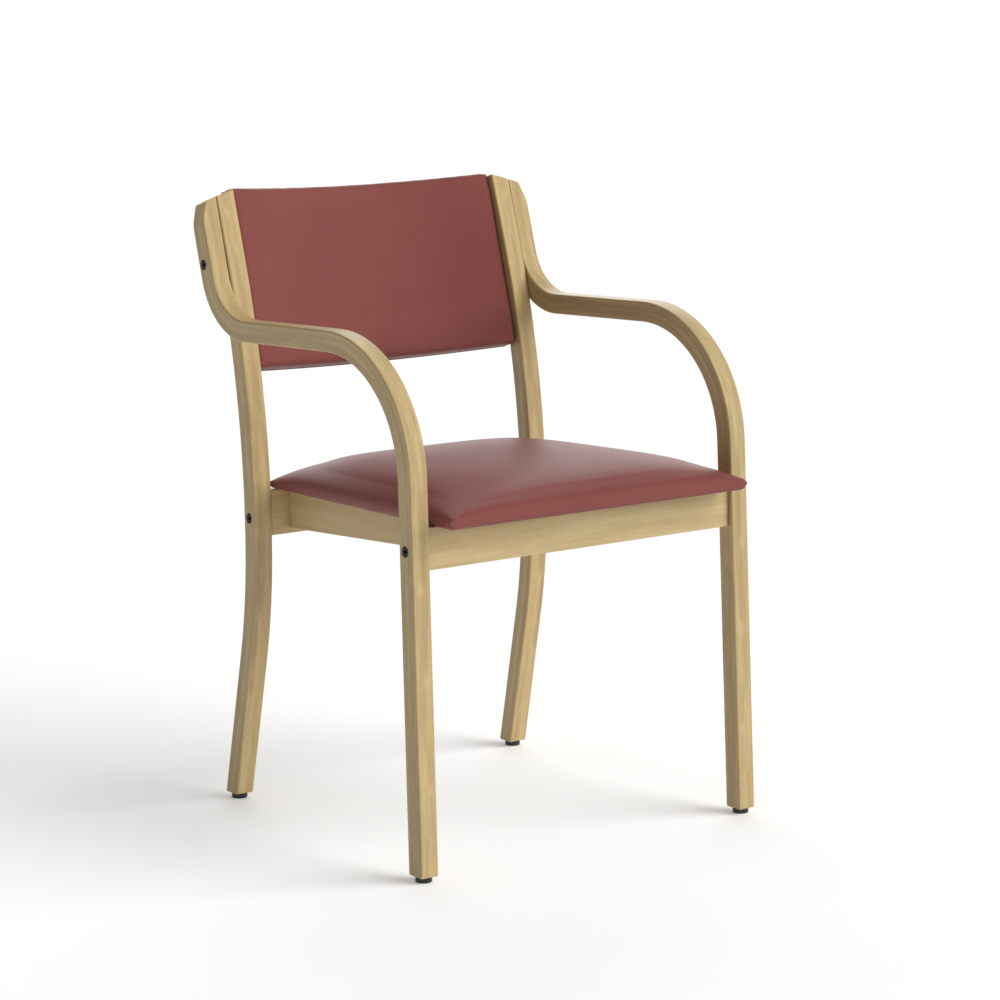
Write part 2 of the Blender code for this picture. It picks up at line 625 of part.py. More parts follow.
def seat_pad(look, guide):
    """Plywood board, foam, vinyl cover turned in underneath, and a black dust cover."""
    low = GAP
    board_low = low + COVER_THICKNESS + GAP
    board_high = board_low + BOARD_THICKNESS
    shape, rim = seat_form(0.0, (board_high + GAP, low))
    made = bmesh.ops.extrude_edge_only(shape, edges=rim)["geom"]
    for vertex in [item for item in made if isinstance(item, bmesh.types.BMVert)]:
        middle = (PAD_FRONT + PAD_REAR) / 2
        vertex.co.x -= math.copysign(FLANGE, vertex.co.x) * (abs(vertex.co.x) > 0.21)
        vertex.co.y -= math.copysign(FLANGE, vertex.co.y - middle) * (
            abs(vertex.co.y - middle) > 0.22)
    cover = add("seat_cover", mesh_from(shape, "seat_cover", 50), look["vinyl"], guide)
    soften(cover, 1)
    wall = cover.modifiers.new("vinyl", "SOLIDIFY")
    wall.thickness = COVER_THICKNESS
    wall.offset = -1

    board = add("seat_board", extruded("seat_board", seat_outline(0.0022), BOARD_THICKNESS / 2),
                look["ply"], guide, (0, 0, (board_low + board_high) / 2))
    for cutter in bpy.data.collections["cutters"].objects:
        if cutter.name.startswith("hole_seat_screw"):
            cut(board, cutter)

    foam_shape, foam_rim = seat_form(0.0030, (board_high + GAP,))
    bmesh.ops.holes_fill(foam_shape, edges=foam_rim, sides=0)
    foam = add("seat_foam", mesh_from(foam_shape, "seat_foam", 50), look["foam"], guide)
    soften(foam, 1)

    sheet = seat_outline(FLANGE + 0.012, 0.010)
    add("seat_dust_cover", extruded("seat_dust_cover", sheet, 0.0004), look["dust"], guide,
        (0, 0, low + 0.0007))
    dust = bpy.data.objects["seat_dust_cover"]
    for cutter in bpy.data.collections["cutters"].objects:
        if cutter.name.startswith("hole_seat_screw"):
            cut(dust, cutter)


def soften(piece, levels):
    smooth = piece.modifiers.new("soft", "SUBSURF")
    smooth.levels = levels
    smooth.render_levels = levels


# ---------------------------------------------------------------- back pad
def back_pad(look, frames):
    """Curved plywood shell, edge battens, foam, cover and rear panel, bolted at its ends."""
    guide = empty("back_pad", (0, BACK_BOTTOM_Y - DEPTH_CENTRE, BACK_BOTTOM_Z),
                  (-BACK_TILT, 0, 0))
    inside = BACK_HALF - COVER_THICKNESS - GAP
    half = BACK_HEIGHT / 2
    layer_half = half - COVER_THICKNESS - GAP
    shell_rear = SHELL_FRONT + SHELL_THICKNESS
    up = (0, 0, half)

    outline = back_slab(SHELL_FRONT, shell_rear, -inside, inside)
    shell = add("back_shell", extruded("back_shell", outline, layer_half), look["ply"], guide, up)
    front = COVER_THICKNESS + GAP
    reach = inside - BATTEN_WIDTH - GAP
    outline = back_slab(front, SHELL_FRONT - GAP, -reach, reach)
    foam = add("back_foam", extruded("back_foam", outline, layer_half), look["foam"], guide, up)
    round_edges(foam, BACK_EDGE, 2, 60)
    outline = back_slab(shell_rear + GAP, BACK_THICKNESS, -BACK_HALF, BACK_HALF)
    add("back_rear_panel", extruded("back_rear_panel", outline, half), look["vinyl"], guide, up)
    cover = add("back_cover", back_cover_mesh(shell_rear), look["vinyl"], guide)
    wall = cover.modifiers.new("vinyl", "SOLIDIFY")
    wall.thickness = COVER_THICKNESS
    wall.offset = -1

    spot = (BACK_BOLT_IN, BACK_BOLT_UP)
    lean_in = SPLAY * (BACK_BOTTOM_Z + BACK_BOLT_UP * math.cos(BACK_TILT) - SPLAY_PIVOT)
    arm_face = HALF_WIDTH - lean_in
    for hand, side in SIDES:
        low, high = sorted((side * (inside - BATTEN_WIDTH), side * inside))
        outline = back_slab(front + 0.004, SHELL_FRONT - GAP, low, high, 3)
        batten = add("back_batten_" + hand, extruded("batten_" + hand, outline, layer_half - 0.004),
                     look["beech"], guide, up)
        outer, inner = frames[hand]
        bolt("back_bolt_" + hand, arm_face - inside + 0.013, look, side, arm_face, spot, guide)
        hole = bolt_hole(hand, side, "back", arm_face, inside - 0.017, spot, guide)
        for piece in (outer, inner, cover, batten):
            cut(piece, hole)
        name = "insert_nut_" + hand
        profile = ((CLEAR_RADIUS, 0), (INSERT_RADIUS, 0), (INSERT_RADIUS, -INSERT_LENGTH),
                   (CLEAR_RADIUS, -INSERT_LENGTH), (CLEAR_RADIUS, 0))
        place = {"parent": guide, "location": (side * (inside - GAP), *spot),
                 "rotation": (0, side * math.pi / 2, 0)}
        turned(name, profile, look["zinc"], **place)
        pocket = cylinder("pocket_" + name, INSERT_RADIUS + GAP, -INSERT_LENGTH - GAP, 0.002)
        cut(batten, add("pocket_" + name, pocket, **place))
        dowel("back_dowel_" + hand, look,
              (side * (LEG_INNER - 0.001), BACK_BOLT_IN, BACK_DOWEL_UP), "x", guide,
              (inner, cover, batten))


def back_cover_mesh(depth):
    """The cover's outer skin: curved front, turned back over all four edges."""
    shape = bmesh.new()
    bmesh.ops.create_grid(shape, x_segments=12, y_segments=3, size=1.0)
    centre_y = BACK_SAGITTA - BACK_RADIUS
    for vertex in shape.verts:
        x = vertex.co.x * BACK_HALF
        z = (vertex.co.y + 1) * BACK_HEIGHT / 2
        vertex.co = (x, centre_y + math.sqrt(BACK_RADIUS ** 2 - x ** 2), z)
    rim = [edge for edge in shape.edges if edge.is_boundary]
    made = bmesh.ops.extrude_edge_only(shape, edges=rim)["geom"]
    for vertex in [item for item in made if isinstance(item, bmesh.types.BMVert)]:
        x = vertex.co.x
        vertex.co.y = centre_y + math.sqrt((BACK_RADIUS + depth) ** 2 - x ** 2)
    bmesh.ops.bevel(shape, geom=rim, offset=BACK_EDGE, segments=2, profile=0.5, affect="EDGES")
    return mesh_from(shape, "back_cover", 50)


# ---------------------------------------------------------------- build
start_empty()
finish = finishes()
side_members = side_frames(finish)
glides(finish, side_members)
seat_guide = seat_frame(finish, side_members)
seat_pad(finish, seat_guide)
back_pad(finish, side_members)
bpy.context.view_layer.update()
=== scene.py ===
"""Laminated beech hospital armchair: its finished surfaces, with a studio and a camera.

Metres, +Z up, the chair facing -Y. Side-plane points are (distance behind the front foot, height).
"""

import math

import bpy
import numpy as np
from mathutils import Matrix, Vector


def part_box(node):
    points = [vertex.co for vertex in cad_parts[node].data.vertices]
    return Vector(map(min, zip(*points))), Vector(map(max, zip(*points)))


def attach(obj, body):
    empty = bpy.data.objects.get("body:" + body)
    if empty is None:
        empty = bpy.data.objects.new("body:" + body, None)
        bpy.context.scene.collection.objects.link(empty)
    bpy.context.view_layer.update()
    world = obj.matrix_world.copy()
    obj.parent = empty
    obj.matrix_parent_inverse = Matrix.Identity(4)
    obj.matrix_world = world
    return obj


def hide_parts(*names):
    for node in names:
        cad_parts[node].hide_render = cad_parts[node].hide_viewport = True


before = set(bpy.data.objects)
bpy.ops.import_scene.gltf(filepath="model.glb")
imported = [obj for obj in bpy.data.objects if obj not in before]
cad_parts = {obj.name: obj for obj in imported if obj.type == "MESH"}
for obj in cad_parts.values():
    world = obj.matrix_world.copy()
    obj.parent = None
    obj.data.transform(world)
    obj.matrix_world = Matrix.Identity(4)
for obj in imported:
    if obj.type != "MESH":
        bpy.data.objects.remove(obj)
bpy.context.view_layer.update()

# ---------------------------------------------------------------- sizes
GAP = 0.0003
DEPTH_CENTRE = 0.2863
HALF_WIDTH = 0.2820
ARM_WIDTH, LEG_WIDTH = 0.0278, 0.0289
ARM_THICKNESS, LEG_THICKNESS = 0.0287, 0.0267
LEG_BOTTOM = 0.0075
SPLAY, SPLAY_PIVOT = 0.007, 0.443
SHOULDER_RADIUS, ELBOW_RADIUS = 0.185, 0.078
FOOT_BEND_RADIUS, BACK_BEND_RADIUS = 0.775, 1.329
TOP_HEIGHT = 0.8565
TOP_SLOPE = math.radians(16.5)
TOP_CORNER_RADIUS, TOP_TAPER_RADIUS = 0.008, 0.060
TOP_TAPER, TOP_TAPER_HEIGHT = 0.0095, 0.0280
RECLINE = math.radians(17.66)
LEG_RAKE = 0.0505
ARM_CORNERS = ((LEG_RAKE * LEG_BOTTOM, LEG_BOTTOM), (0.0355, 0.7035), (0.4746, 0.6854))
UPRIGHT_Y = 0.4325
FOOT_SWEEP = math.radians(11.2)
FOOT_CORNER_Z, BACK_CORNER_Z = 0.2817, 0.5644
INNER_FACE = HALF_WIDTH - ARM_WIDTH
LEG_OUTER = INNER_FACE - GAP
LEG_INNER = LEG_OUTER - LEG_WIDTH
MEMBER_EDGE = 0.0024
SIDE_FACE_START, SIDE_FACE_RUN = 0.0015, 0.001
LAMINATION = 0.0032

SEAT_TILT = math.atan(0.030)
SEAT_FRAME_Y, SEAT_FRAME_Z = 0.0298, 0.4600
RAIL_THICKNESS, SIDE_RAIL_THICKNESS = 0.020, 0.018
SIDE_RAIL_OUTER = 0.1945
FRONT_RAIL_HEIGHT, REAR_RAIL_HEIGHT = 0.0555, 0.0635
SIDE_RAIL_FRONT_HEIGHT, SIDE_RAIL_REAR_HEIGHT = 0.0435, 0.0565
REAR_RAIL_AT = 0.4080
PAD_FRONT, PAD_REAR = -0.0485, 0.4240
PAD_FRONT_HALF, PAD_REAR_HALF = 0.2510, 0.2208
PAD_MIDDLE, PAD_LENGTH = (PAD_FRONT + PAD_REAR) / 2, PAD_REAR - PAD_FRONT
PAD_BOTTOM = 0.0004
BOARD_INSET, BOARD_BOTTOM, BOARD_TOP = 0.0140, 0.0018, 0.0105
HEM_INSET, DUST_INSET = 0.0085, 0.042

BACK_HALF = 0.2218
BACK_BOTTOM_Y, BACK_BOTTOM_Z = 0.4572, 0.6146
BACK_HEIGHT = 0.2545
BACK_TILT = math.radians(15.9)
BACK_SAGITTA = 0.034
BACK_RADIUS = (BACK_HALF ** 2 + BACK_SAGITTA ** 2) / (2 * BACK_SAGITTA)
BACK_BODY = 0.0300
BACK_THICKNESS = 0.033

FRONT_BOLT = (0.0086, -0.0290)
REAR_BOLT = (REAR_RAIL_AT + 0.0115, -0.0375)
BACK_BOLT = (0.0160, 0.1515)
COUNTERBORE_RADIUS, COUNTERBORE_DEPTH = 0.0074, 0.0056
GLIDE_RADIUS, GLIDE_HEIGHT = 0.0110, 0.0072
BACK_BOLT_FACE = HALF_WIDTH - 0.0022
HEAD_RADIUS, HEAD_HEIGHT, SHANK_RADIUS, SHANK_TIP = 0.0065, 0.0048, 0.0030, 0.001
KEY_RADIUS, KEY_DEPTH = 0.0029, 0.003
BOLT_REACH = 0.033
NUT_SETBACK, NUT_HOLE_RADIUS, NUT_HOLE_DEPTH = 0.026, 0.0053, 0.080
FRONT_NUT_TOP, REAR_NUT_TOP = -0.0207, -0.0292
SIDES = (("right", -1), ("left", 1))
SAW_ALLOWANCE, TIP_ALLOWANCE = 0.020, 0.050

SEAT_FRAME = (Matrix.Translation((0, SEAT_FRAME_Y - DEPTH_CENTRE, SEAT_FRAME_Z))
              @ Matrix.Rotation(-SEAT_TILT, 4, "X"))
BACK_FRAME = (Matrix.Translation((0, BACK_BOTTOM_Y - DEPTH_CENTRE, BACK_BOTTOM_Z))
              @ Matrix.Rotation(-BACK_TILT, 4, "X"))


# ---------------------------------------------------------------- shader patterns
class Wave:
    """A socket that takes part in sums, so that a pattern reads as a formula."""

    def __init__(self, finish, socket):
        self.finish, self.socket = finish, socket

    def sum(self, operation, *values):
        return self.finish.node("ShaderNodeMath", {"operation": operation}, *values)

    def __add__(self, other):
        return self.sum("ADD", self, other)

    def __sub__(self, other):
        return self.sum("SUBTRACT", self, other)

    def __rsub__(self, other):
        return self.sum("SUBTRACT", other, self)

    def __mul__(self, other):
        return self.sum("MULTIPLY", self, other)

    __radd__ = __add__
    __rmul__ = __mul__

    def floor(self):
        return self.sum("FLOOR", self)

    def fraction(self):
        return self.sum("FRACT", self)

    def sine(self):
        return self.sum("SINE", self)

    def lower(self, other):
        return self.sum("MINIMUM", self, other)

    def band(self, low, high):
        """0 below low, 1 above high, smooth between."""
        return self.finish.node("ShaderNodeMapRange", {"interpolation_type": "SMOOTHSTEP"},
                                self, low, high, 0.0, 1.0)


class Finish:
    """A material and the patterns that feed its shader."""

    def __init__(self, name, colour, roughness, metallic=0.0, **fixed):
        self.material = bpy.data.materials.new(name)
        self.material.use_nodes = True
        self.tree = self.material.node_tree
        self.shader = self.tree.nodes["Principled BSDF"]
        self.shader.inputs["Base Color"].default_value = (*colour, 1)
        self.shader.inputs["Roughness"].default_value = roughness
        self.shader.inputs["Metallic"].default_value = metallic
        for socket, value in fixed.items():
            self.shader.inputs[socket.replace("_", " ")].default_value = value

    def node(self, kind, settings, *values, out=0, **named):
        made = self.tree.nodes.new(kind)
        for setting, value in settings.items():
            setattr(made, setting, value)
        for key, value in [*enumerate(values), *named.items()]:
            if isinstance(value, Wave):
                self.tree.links.new(value.socket, made.inputs[key])
            else:
                made.inputs[key].default_value = value
        return Wave(self, made.outputs[out])

    def place(self):
        return self.node("ShaderNodeTexCoord", {}, out="Object")

    def attribute(self, name):
        return self.node("ShaderNodeAttribute", {"attribute_name": name}, out="Vector")

    def stretch(self, vector, scale, shift=(0, 0, 0)):
        return self.node("ShaderNodeMapping", {}, vector, Scale=scale, Location=shift)

    def parts(self, vector):
        split = self.tree.nodes.new("ShaderNodeSeparateXYZ")
        self.tree.links.new(vector.socket, split.inputs[0])
        return [Wave(self, split.outputs[axis]) for axis in range(3)]

    def noise(self, vector, scale, detail=2.0, roughness=0.5):
        return self.node("ShaderNodeTexNoise", {}, Vector=vector, Scale=scale, Detail=detail,
                         Roughness=roughness)

    def cells(self, vector, scale, feature="F1"):
        return self.node("ShaderNodeTexVoronoi", {"feature": feature}, Vector=vector, Scale=scale)

    def chance(self, value):
        return self.node("ShaderNodeTexWhiteNoise", {"noise_dimensions": "1D"}, W=value)

    def blend(self, amount, first, second, mode="MIX"):
        mix = self.tree.nodes.new("ShaderNodeMix")
        mix.data_type = "RGBA"
        mix.blend_type = mode
        colours = [socket for socket in mix.inputs if socket.type == "RGBA"]
        for socket, value in zip([mix.inputs[0], *colours], (amount, first, second)):
            if isinstance(value, Wave):
                self.tree.links.new(value.socket, socket)
            else:
                socket.default_value = value if socket == mix.inputs[0] else (*value, 1)
        return Wave(self, [socket for socket in mix.outputs if socket.type == "RGBA"][0])

    def feed(self, socket, value):
        self.tree.links.new(value.socket, self.shader.inputs[socket])

    def relief(self, height, distance, strength=1.0):
        bump = self.node("ShaderNodeBump", {}, Strength=strength, Distance=distance,
                         Height=height)
        self.feed("Normal", bump)


def wood(name, light, dark, line, layer=0.0, seed=0.0, lively=1.0):
    """Lacquered beech. The grain attribute runs along, through the stack, and across."""
    beech = Finish(name, light, 0.42, Coat_Weight=0.18, Coat_Roughness=0.28)
    beech.shader.inputs["Specular IOR Level"].default_value = 0.42
    grain = beech.attribute("grain")
    along, through, across = beech.parts(grain)
    figure = beech.noise(beech.stretch(grain, (5, 70, 70), (seed, seed, 0)), 1.0, 4.0, 0.6)
    tint = beech.noise(beech.stretch(grain, (2.2, 24, 24), (seed + 3, 0, 0)), 1.0, 2.0)
    streak = beech.noise(beech.stretch(grain, (14, 900, 900), (seed, 0, 0)), 1.0, 3.0, 0.7)
    fleck = beech.cells(beech.stretch(grain, (150, 1100, 1100), (seed, 0, 0)), 1.0)
    ribbon = beech.noise(beech.stretch(grain, (7, 240, 240), (seed + 1, 0, 0)), 1.0, 3.0, 0.6)
    cloud = beech.noise(beech.stretch(grain, (24, 60, 60), (seed + 5, 0, 0)), 1.0, 2.0)
    short_marks = 1.0 - fleck.band(0.16, 0.30)
    mark_field = beech.noise(beech.stretch(grain, (9, 60, 60), (seed + 9, 0, 0)), 1.0, 2.0)
    marks = short_marks * mark_field.band(0.42, 0.62)
    colour = beech.blend(figure.band(0.30, 0.72), light, dark)
    warm = tuple(c * k for c, k in zip(light, (1.06, 0.97, 0.86)))
    colour = beech.blend(tint.band(0.45, 0.75) * 0.55, colour, warm)
    colour = beech.blend(ribbon.band(0.45, 0.72) * (0.42 * lively), colour, dark)
    pale = tuple(c * 1.10 for c in light)
    colour = beech.blend(cloud.band(0.52, 0.74) * (0.45 * lively), colour, pale)
    if layer:
        wander = beech.noise(beech.stretch(grain, (3, 0, 0)), 1.0, 1.0)
        count = (through + wander * 0.0006) * (1 / layer)
        part = count.fraction()
        shade = beech.chance(count.floor() + seed)
        side_face = beech.parts(beech.attribute("side_face"))[0]
        # Per-layer tone of the laminations, much stronger on the side faces where the layer edges
        # show; there it also darkens the side faces overall, which is painted shade.
        colour = beech.blend(shade * (0.12 + side_face * 0.45), colour, dark)
        glue = 1.0 - part.lower(1.0 - part).band(0.03, 0.13)
        colour = beech.blend(glue * side_face * 0.50, colour, line)
        # Painted shade: every side face is darkened a little towards the glue-line colour.
        colour = beech.blend(side_face * 0.10, colour, line)
        height = streak * 0.35 - glue * side_face * 0.6 - marks * 0.3
    else:
        rings = beech.node("ShaderNodeTexWave", {"wave_type": "BANDS", "bands_direction": "Z"},
                           Vector=beech.stretch(grain, (0.25, 0.55, 1.0)), Scale=20.0,
                           Distortion=5.0, Detail=2.0, **{"Detail Scale": 0.8}, out="Fac")
        colour = beech.blend(rings.band(0.5, 1.0) * 0.30, colour, dark)
        height = streak * 0.35 + rings * 0.1 - marks * 0.3
    colour = beech.blend(streak.band(0.50, 0.80) * 0.28, colour, dark)
    colour = beech.blend(marks * 0.45, colour, line)
    beech.feed("Base Color", colour)
    beech.feed("Roughness", 0.38 + figure * 0.10 + streak * 0.06)
    beech.relief(height, 0.00010, 0.5)
    return beech.material


def raw_wood(name, light, dark, layers=0.0):
    """Unlacquered beech or plywood, read from the piece's own place."""
    timber = Finish(name, light, 0.62)
    place = timber.place()
    figure = timber.noise(timber.stretch(place, (10, 90, 90)), 1.0, 4.0, 0.6)
    streak = timber.noise(timber.stretch(place, (30, 600, 600)), 1.0, 3.0, 0.7)
    colour = timber.blend(figure.band(0.3, 0.7), light, dark)
    colour = timber.blend(streak.band(0.5, 0.8) * 0.35, colour, dark)
    if layers:
        ply = (timber.parts(place)[2] * (1 / layers)).fraction()
        colour = timber.blend(ply.band(0.45, 0.55) * 0.45, colour, dark)
    timber.feed("Base Color", colour)
    timber.feed("Roughness", 0.55 + figure * 0.15)
    timber.relief(streak, 0.0001, 0.4)
    return timber.material


def vinyl(name, colour, deep):
    """Upholstery vinyl with a fine pebbled grain and a soft sheen."""
    cloth = Finish(name, colour, 0.50)
    cloth.shader.inputs["Specular IOR Level"].default_value = 0.30
    place = cloth.place()
    drift = cloth.noise(place, 9.0, 3.0)
    warp = cloth.noise(place, 420.0, 1.0)
    pebble = cloth.cells(place, 950.0)
    fine = cloth.noise(place, 2600.0, 2.0)
    tone = cloth.blend(drift.band(0.30, 0.75) * 0.35, colour, deep)
    tone = cloth.blend(pebble.band(0.35, 0.80) * 0.16, tone, deep)
    cloth.feed("Base Color", tone)
    cloth.feed("Roughness", 0.42 + drift * 0.06 + pebble * 0.08)
    cloth.relief(1.0 - pebble * 0.8 + warp * 0.5 + fine * 0.25, 0.00012, 0.30)
    return cloth.material


def steel(name, colour, roughness, metallic):
    """Fastener steel, faintly mottled."""
    metal = Finish(name, colour, roughness, metallic)
    place = metal.place()
    mottle = metal.noise(place, 700.0, 3.0)
    metal.feed("Base Color", metal.blend(mottle.band(0.4, 0.7) * 0.5, colour,
                                         tuple(c * 0.7 for c in colour)))
    metal.feed("Roughness", roughness + mottle * 0.15 - 0.07)
    metal.relief(mottle, 0.00005, 0.3)
    return metal.material


def nylon(name, colour):
    """Moulded glide, scuffed towards the floor."""
    plastic = Finish(name, colour, 0.45)
    place = plastic.place()
    grain = plastic.noise(place, 900.0, 2.0)
    low = 1.0 - plastic.parts(place)[2].band(0.0005, 0.0030)
    scuff = low * plastic.noise(place, 260.0, 3.0).band(0.45, 0.65)
    plastic.feed("Base Color", plastic.blend(scuff * 0.5, colour, (0.10, 0.10, 0.095)))
    plastic.feed("Roughness", 0.42 + grain * 0.10 + scuff * 0.25)
    plastic.relief(grain, 0.00005, 0.3)
    return plastic.material


def woven(name, colour, pale):
    """Non-woven dust cloth: short fibres pressed in a fine grid of dots."""
    felt = Finish(name, colour, 0.92)
    place = felt.place()
    x, y, _ = felt.parts(place)
    dots = (x * 2600.0).sine() * (y * 2600.0).sine()
    fibres = felt.noise(felt.stretch(place, (900, 2600, 900)), 1.0, 3.0)
    felt.feed("Base Color", felt.blend(fibres.band(0.45, 0.70) * 0.6, colour, pale))
    felt.relief(fibres * 0.6 - dots.band(0.2, 0.8), 0.0002, 0.6)
    return felt.material


BEECH_LIGHT, BEECH_DARK = (0.540, 0.408, 0.200), (0.350, 0.248, 0.110)
# Colour of the glue lines and dark flecks, also used for the painted shade on the members' side
# faces.
BEECH_LINE_AND_SIDE_SHADE = (0.20, 0.125, 0.052)
beech_arm = wood("lacquered_beech_arm", BEECH_LIGHT, BEECH_DARK, BEECH_LINE_AND_SIDE_SHADE, LAMINATION)
beech_leg = wood("lacquered_beech_leg", BEECH_LIGHT, BEECH_DARK, BEECH_LINE_AND_SIDE_SHADE, LAMINATION, 4.7)
beech_rail = wood("lacquered_beech_rail", (0.55, 0.42, 0.215), (0.43, 0.315, 0.148), BEECH_LINE_AND_SIDE_SHADE,
                  0.0, 8.3, 0.6)
block_wood = raw_wood("sawn_beech", (0.58, 0.43, 0.24), (0.46, 0.32, 0.16))
plywood = raw_wood("birch_plywood", (0.62, 0.48, 0.28), (0.45, 0.32, 0.17), 0.003)
wine_vinyl = vinyl("wine_vinyl", (0.205, 0.054, 0.047), (0.158, 0.038, 0.034))
black_steel = steel("black_oxide_steel", (0.020, 0.020, 0.021), 0.40, 0.85)
zinc_steel = steel("zinc_plated_steel", (0.56, 0.56, 0.53), 0.34, 1.0)
black_nylon = nylon("black_nylon", (0.014, 0.014, 0.014))
dust_cloth = woven("black_dust_cloth", (0.012, 0.012, 0.013), (0.035, 0.035, 0.036))
foam_finish = woven("cushion_foam", (0.62, 0.56, 0.42), (0.70, 0.65, 0.52))


# ---------------------------------------------------------------- bench tools
def nothing_selected():
    if bpy.context.object and bpy.context.object.mode != "OBJECT":
        bpy.ops.object.mode_set(mode="OBJECT")
    bpy.ops.object.select_all(action="DESELECT")


def started(name):
    """The primitive just added, named and alone selected."""
    piece = bpy.context.object
    piece.name = name
    piece.data.name = name
    return piece


def hold(piece):
    nothing_selected()
    piece.select_set(True)
    bpy.context.view_layer.objects.active = piece


def settle(piece, matrix=None):
    """Puts the piece's place into its mesh."""
    hold(piece)
    if matrix is not None:
        piece.matrix_world = matrix @ piece.matrix_world
    bpy.ops.object.transform_apply(location=True, rotation=True, scale=True)


def edit(piece):
    hold(piece)
    bpy.ops.object.mode_set(mode="EDIT")
    bpy.ops.mesh.select_mode(type="FACE")


def done():
    bpy.ops.object.mode_set(mode="OBJECT")


def apply(piece, kind, **settings):
    hold(piece)
    modifier = piece.modifiers.new(kind.lower(), kind)
    for setting, value in settings.items():
        setattr(modifier, setting, value)
    bpy.ops.object.modifier_apply(modifier=modifier.name)


def rounded(piece, width, segments=3, angle=30):
    apply(piece, "BEVEL", width=width, segments=segments, limit_method="ANGLE",
          angle_limit=math.radians(angle), harden_normals=False)


def smooth(piece, angle=35):
    """Soft edges, with the broad faces kept flat."""
    hold(piece)
    bpy.ops.object.shade_smooth_by_angle(angle=math.radians(angle))
    apply(piece, "WEIGHTED_NORMAL", weight=100, keep_sharp=True)


def outward(piece):
    edit(piece)
    bpy.ops.mesh.select_all(action="SELECT")
    bpy.ops.mesh.remove_doubles(threshold=0.000001)
    bpy.ops.mesh.normals_make_consistent(inside=False)
    done()


def drilled(piece, *cutters):
    for cutter in cutters:
        apply(piece, "BOOLEAN", operation="DIFFERENCE", solver="EXACT", object=cutter)


def cast_off(*pieces):
    for piece in pieces:
        bpy.data.objects.remove(piece, do_unlink=True)


def vectors(vertices, kind):
    """The places or normals of a mesh's vertices, a row for each."""
    flat = np.empty(len(vertices) * 3, np.float32)
    vertices.foreach_get(kind, flat)
    return flat.reshape(-1, 3)


def points(piece):
    return vectors(piece.data.vertices, "co").astype(float)


def set_points(piece, places):
    piece.data.vertices.foreach_set("co", np.asarray(places, np.float32).ravel())
    piece.data.update()


def mark_grain(piece, grain, side=None):
    """Stores the grain's directions, and how far each point lies on a side face."""
    store = piece.data.attributes.new("grain", "FLOAT_VECTOR", "POINT")
    store.data.foreach_set("vector", np.asarray(grain, np.float32).ravel())
    if side is not None:
        store = piece.data.attributes.new("side_face", "FLOAT_VECTOR", "POINT")
        store.data.foreach_set("vector", np.repeat(side, 3).astype(np.float32))


def finished(piece, material, slot, *nodes, body="root"):
    piece.data.materials.clear()
    piece.data.materials.append(material)
    if nodes:
        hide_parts(*nodes)
    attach(piece, body)
    return piece


def twin(piece, name):
    """The same piece on the other side of the chair, with a mesh of its own."""
    hold(piece)
    bpy.ops.object.duplicate(linked=False)
    other = started(name)
    other.scale.x = -1
    bpy.ops.object.transform_apply(location=False, rotation=False, scale=True)
    outward(other)
    return other


# ---------------------------------------------------------------- bent members
def unit(start, end):
    return (Vector(end) - Vector(start)).normalized()


def bent_path(corners, radii):
    """Straight runs and bends of a member's front face, in order."""
    steps = []
    here = Vector(corners[0])
    for before, corner, after, radius in zip(corners, corners[1:], corners[2:], radii):
        onward, then = unit(before, corner), unit(corner, after)
        turn = onward.angle_signed(then)
        setback = radius * math.tan(abs(turn) / 2)
        start = Vector(corner) - onward * setback
        steps.append(("run", here, start))
        steps.append(("bend", start, radius, turn, onward))
        here = Vector(corner) + then * setback
    steps.append(("run", here, Vector(corners[-1])))
    return steps


def member(name, corners, radii, thickness, low_x, high_x, bend_steps):
    """A laminated member: a cross-section drawn along its runs and spun round its bends."""
    path = bent_path(corners, radii)
    lead = unit(*path[0][1:])
    start = path[0][1] - lead * SAW_ALLOWANCE
    back = Vector((-lead.y, lead.x)) * -1
    middle = start + back * thickness / 2
    nothing_selected()
    bpy.ops.mesh.primitive_plane_add(size=1, location=((low_x + high_x) / 2, middle.x, middle.y))
    piece = started(name)
    piece.scale = (high_x - low_x, thickness, 1)
    piece.rotation_euler = (-math.atan2(lead.x, lead.y), 0, 0)
    settle(piece)
    edit(piece)
    bpy.ops.mesh.select_all(action="SELECT")
    line = [start]
    for step in path:
        if step[0] == "run":
            move = step[2] - line[-1]
            bpy.ops.mesh.extrude_region_move(
                TRANSFORM_OT_translate={"value": (0, move.x, move.y)})
            line.append(step[2])
        else:
            _, begin, radius, turn, onward = step
            # bends are centred on the side that the path turns towards
            to_centre = Vector((onward.y, -onward.x)) * (1 if turn > 0 else -1)
            centre = begin + to_centre * radius
            steps = next(bend_steps)
            bpy.ops.mesh.spin(steps=steps, angle=turn, center=(0, centre.x, centre.y),
                              axis=(1, 0, 0))
            for number in range(1, steps + 1):
                angle = -turn * number / steps
                line.append(centre + Matrix.Rotation(angle, 2) @ (begin - centre))
    bpy.ops.mesh.select_all(action="SELECT")
    bpy.ops.mesh.bisect(plane_co=(0, 0, LEG_BOTTOM), plane_no=(0, 0, 1), use_fill=True,
                        clear_inner=True)
    done()
    return piece, line


def facing(angle):
    """Direction in a top end's own plane, turned outwards from straight up."""
    return Vector((math.sin(angle), math.cos(angle)))


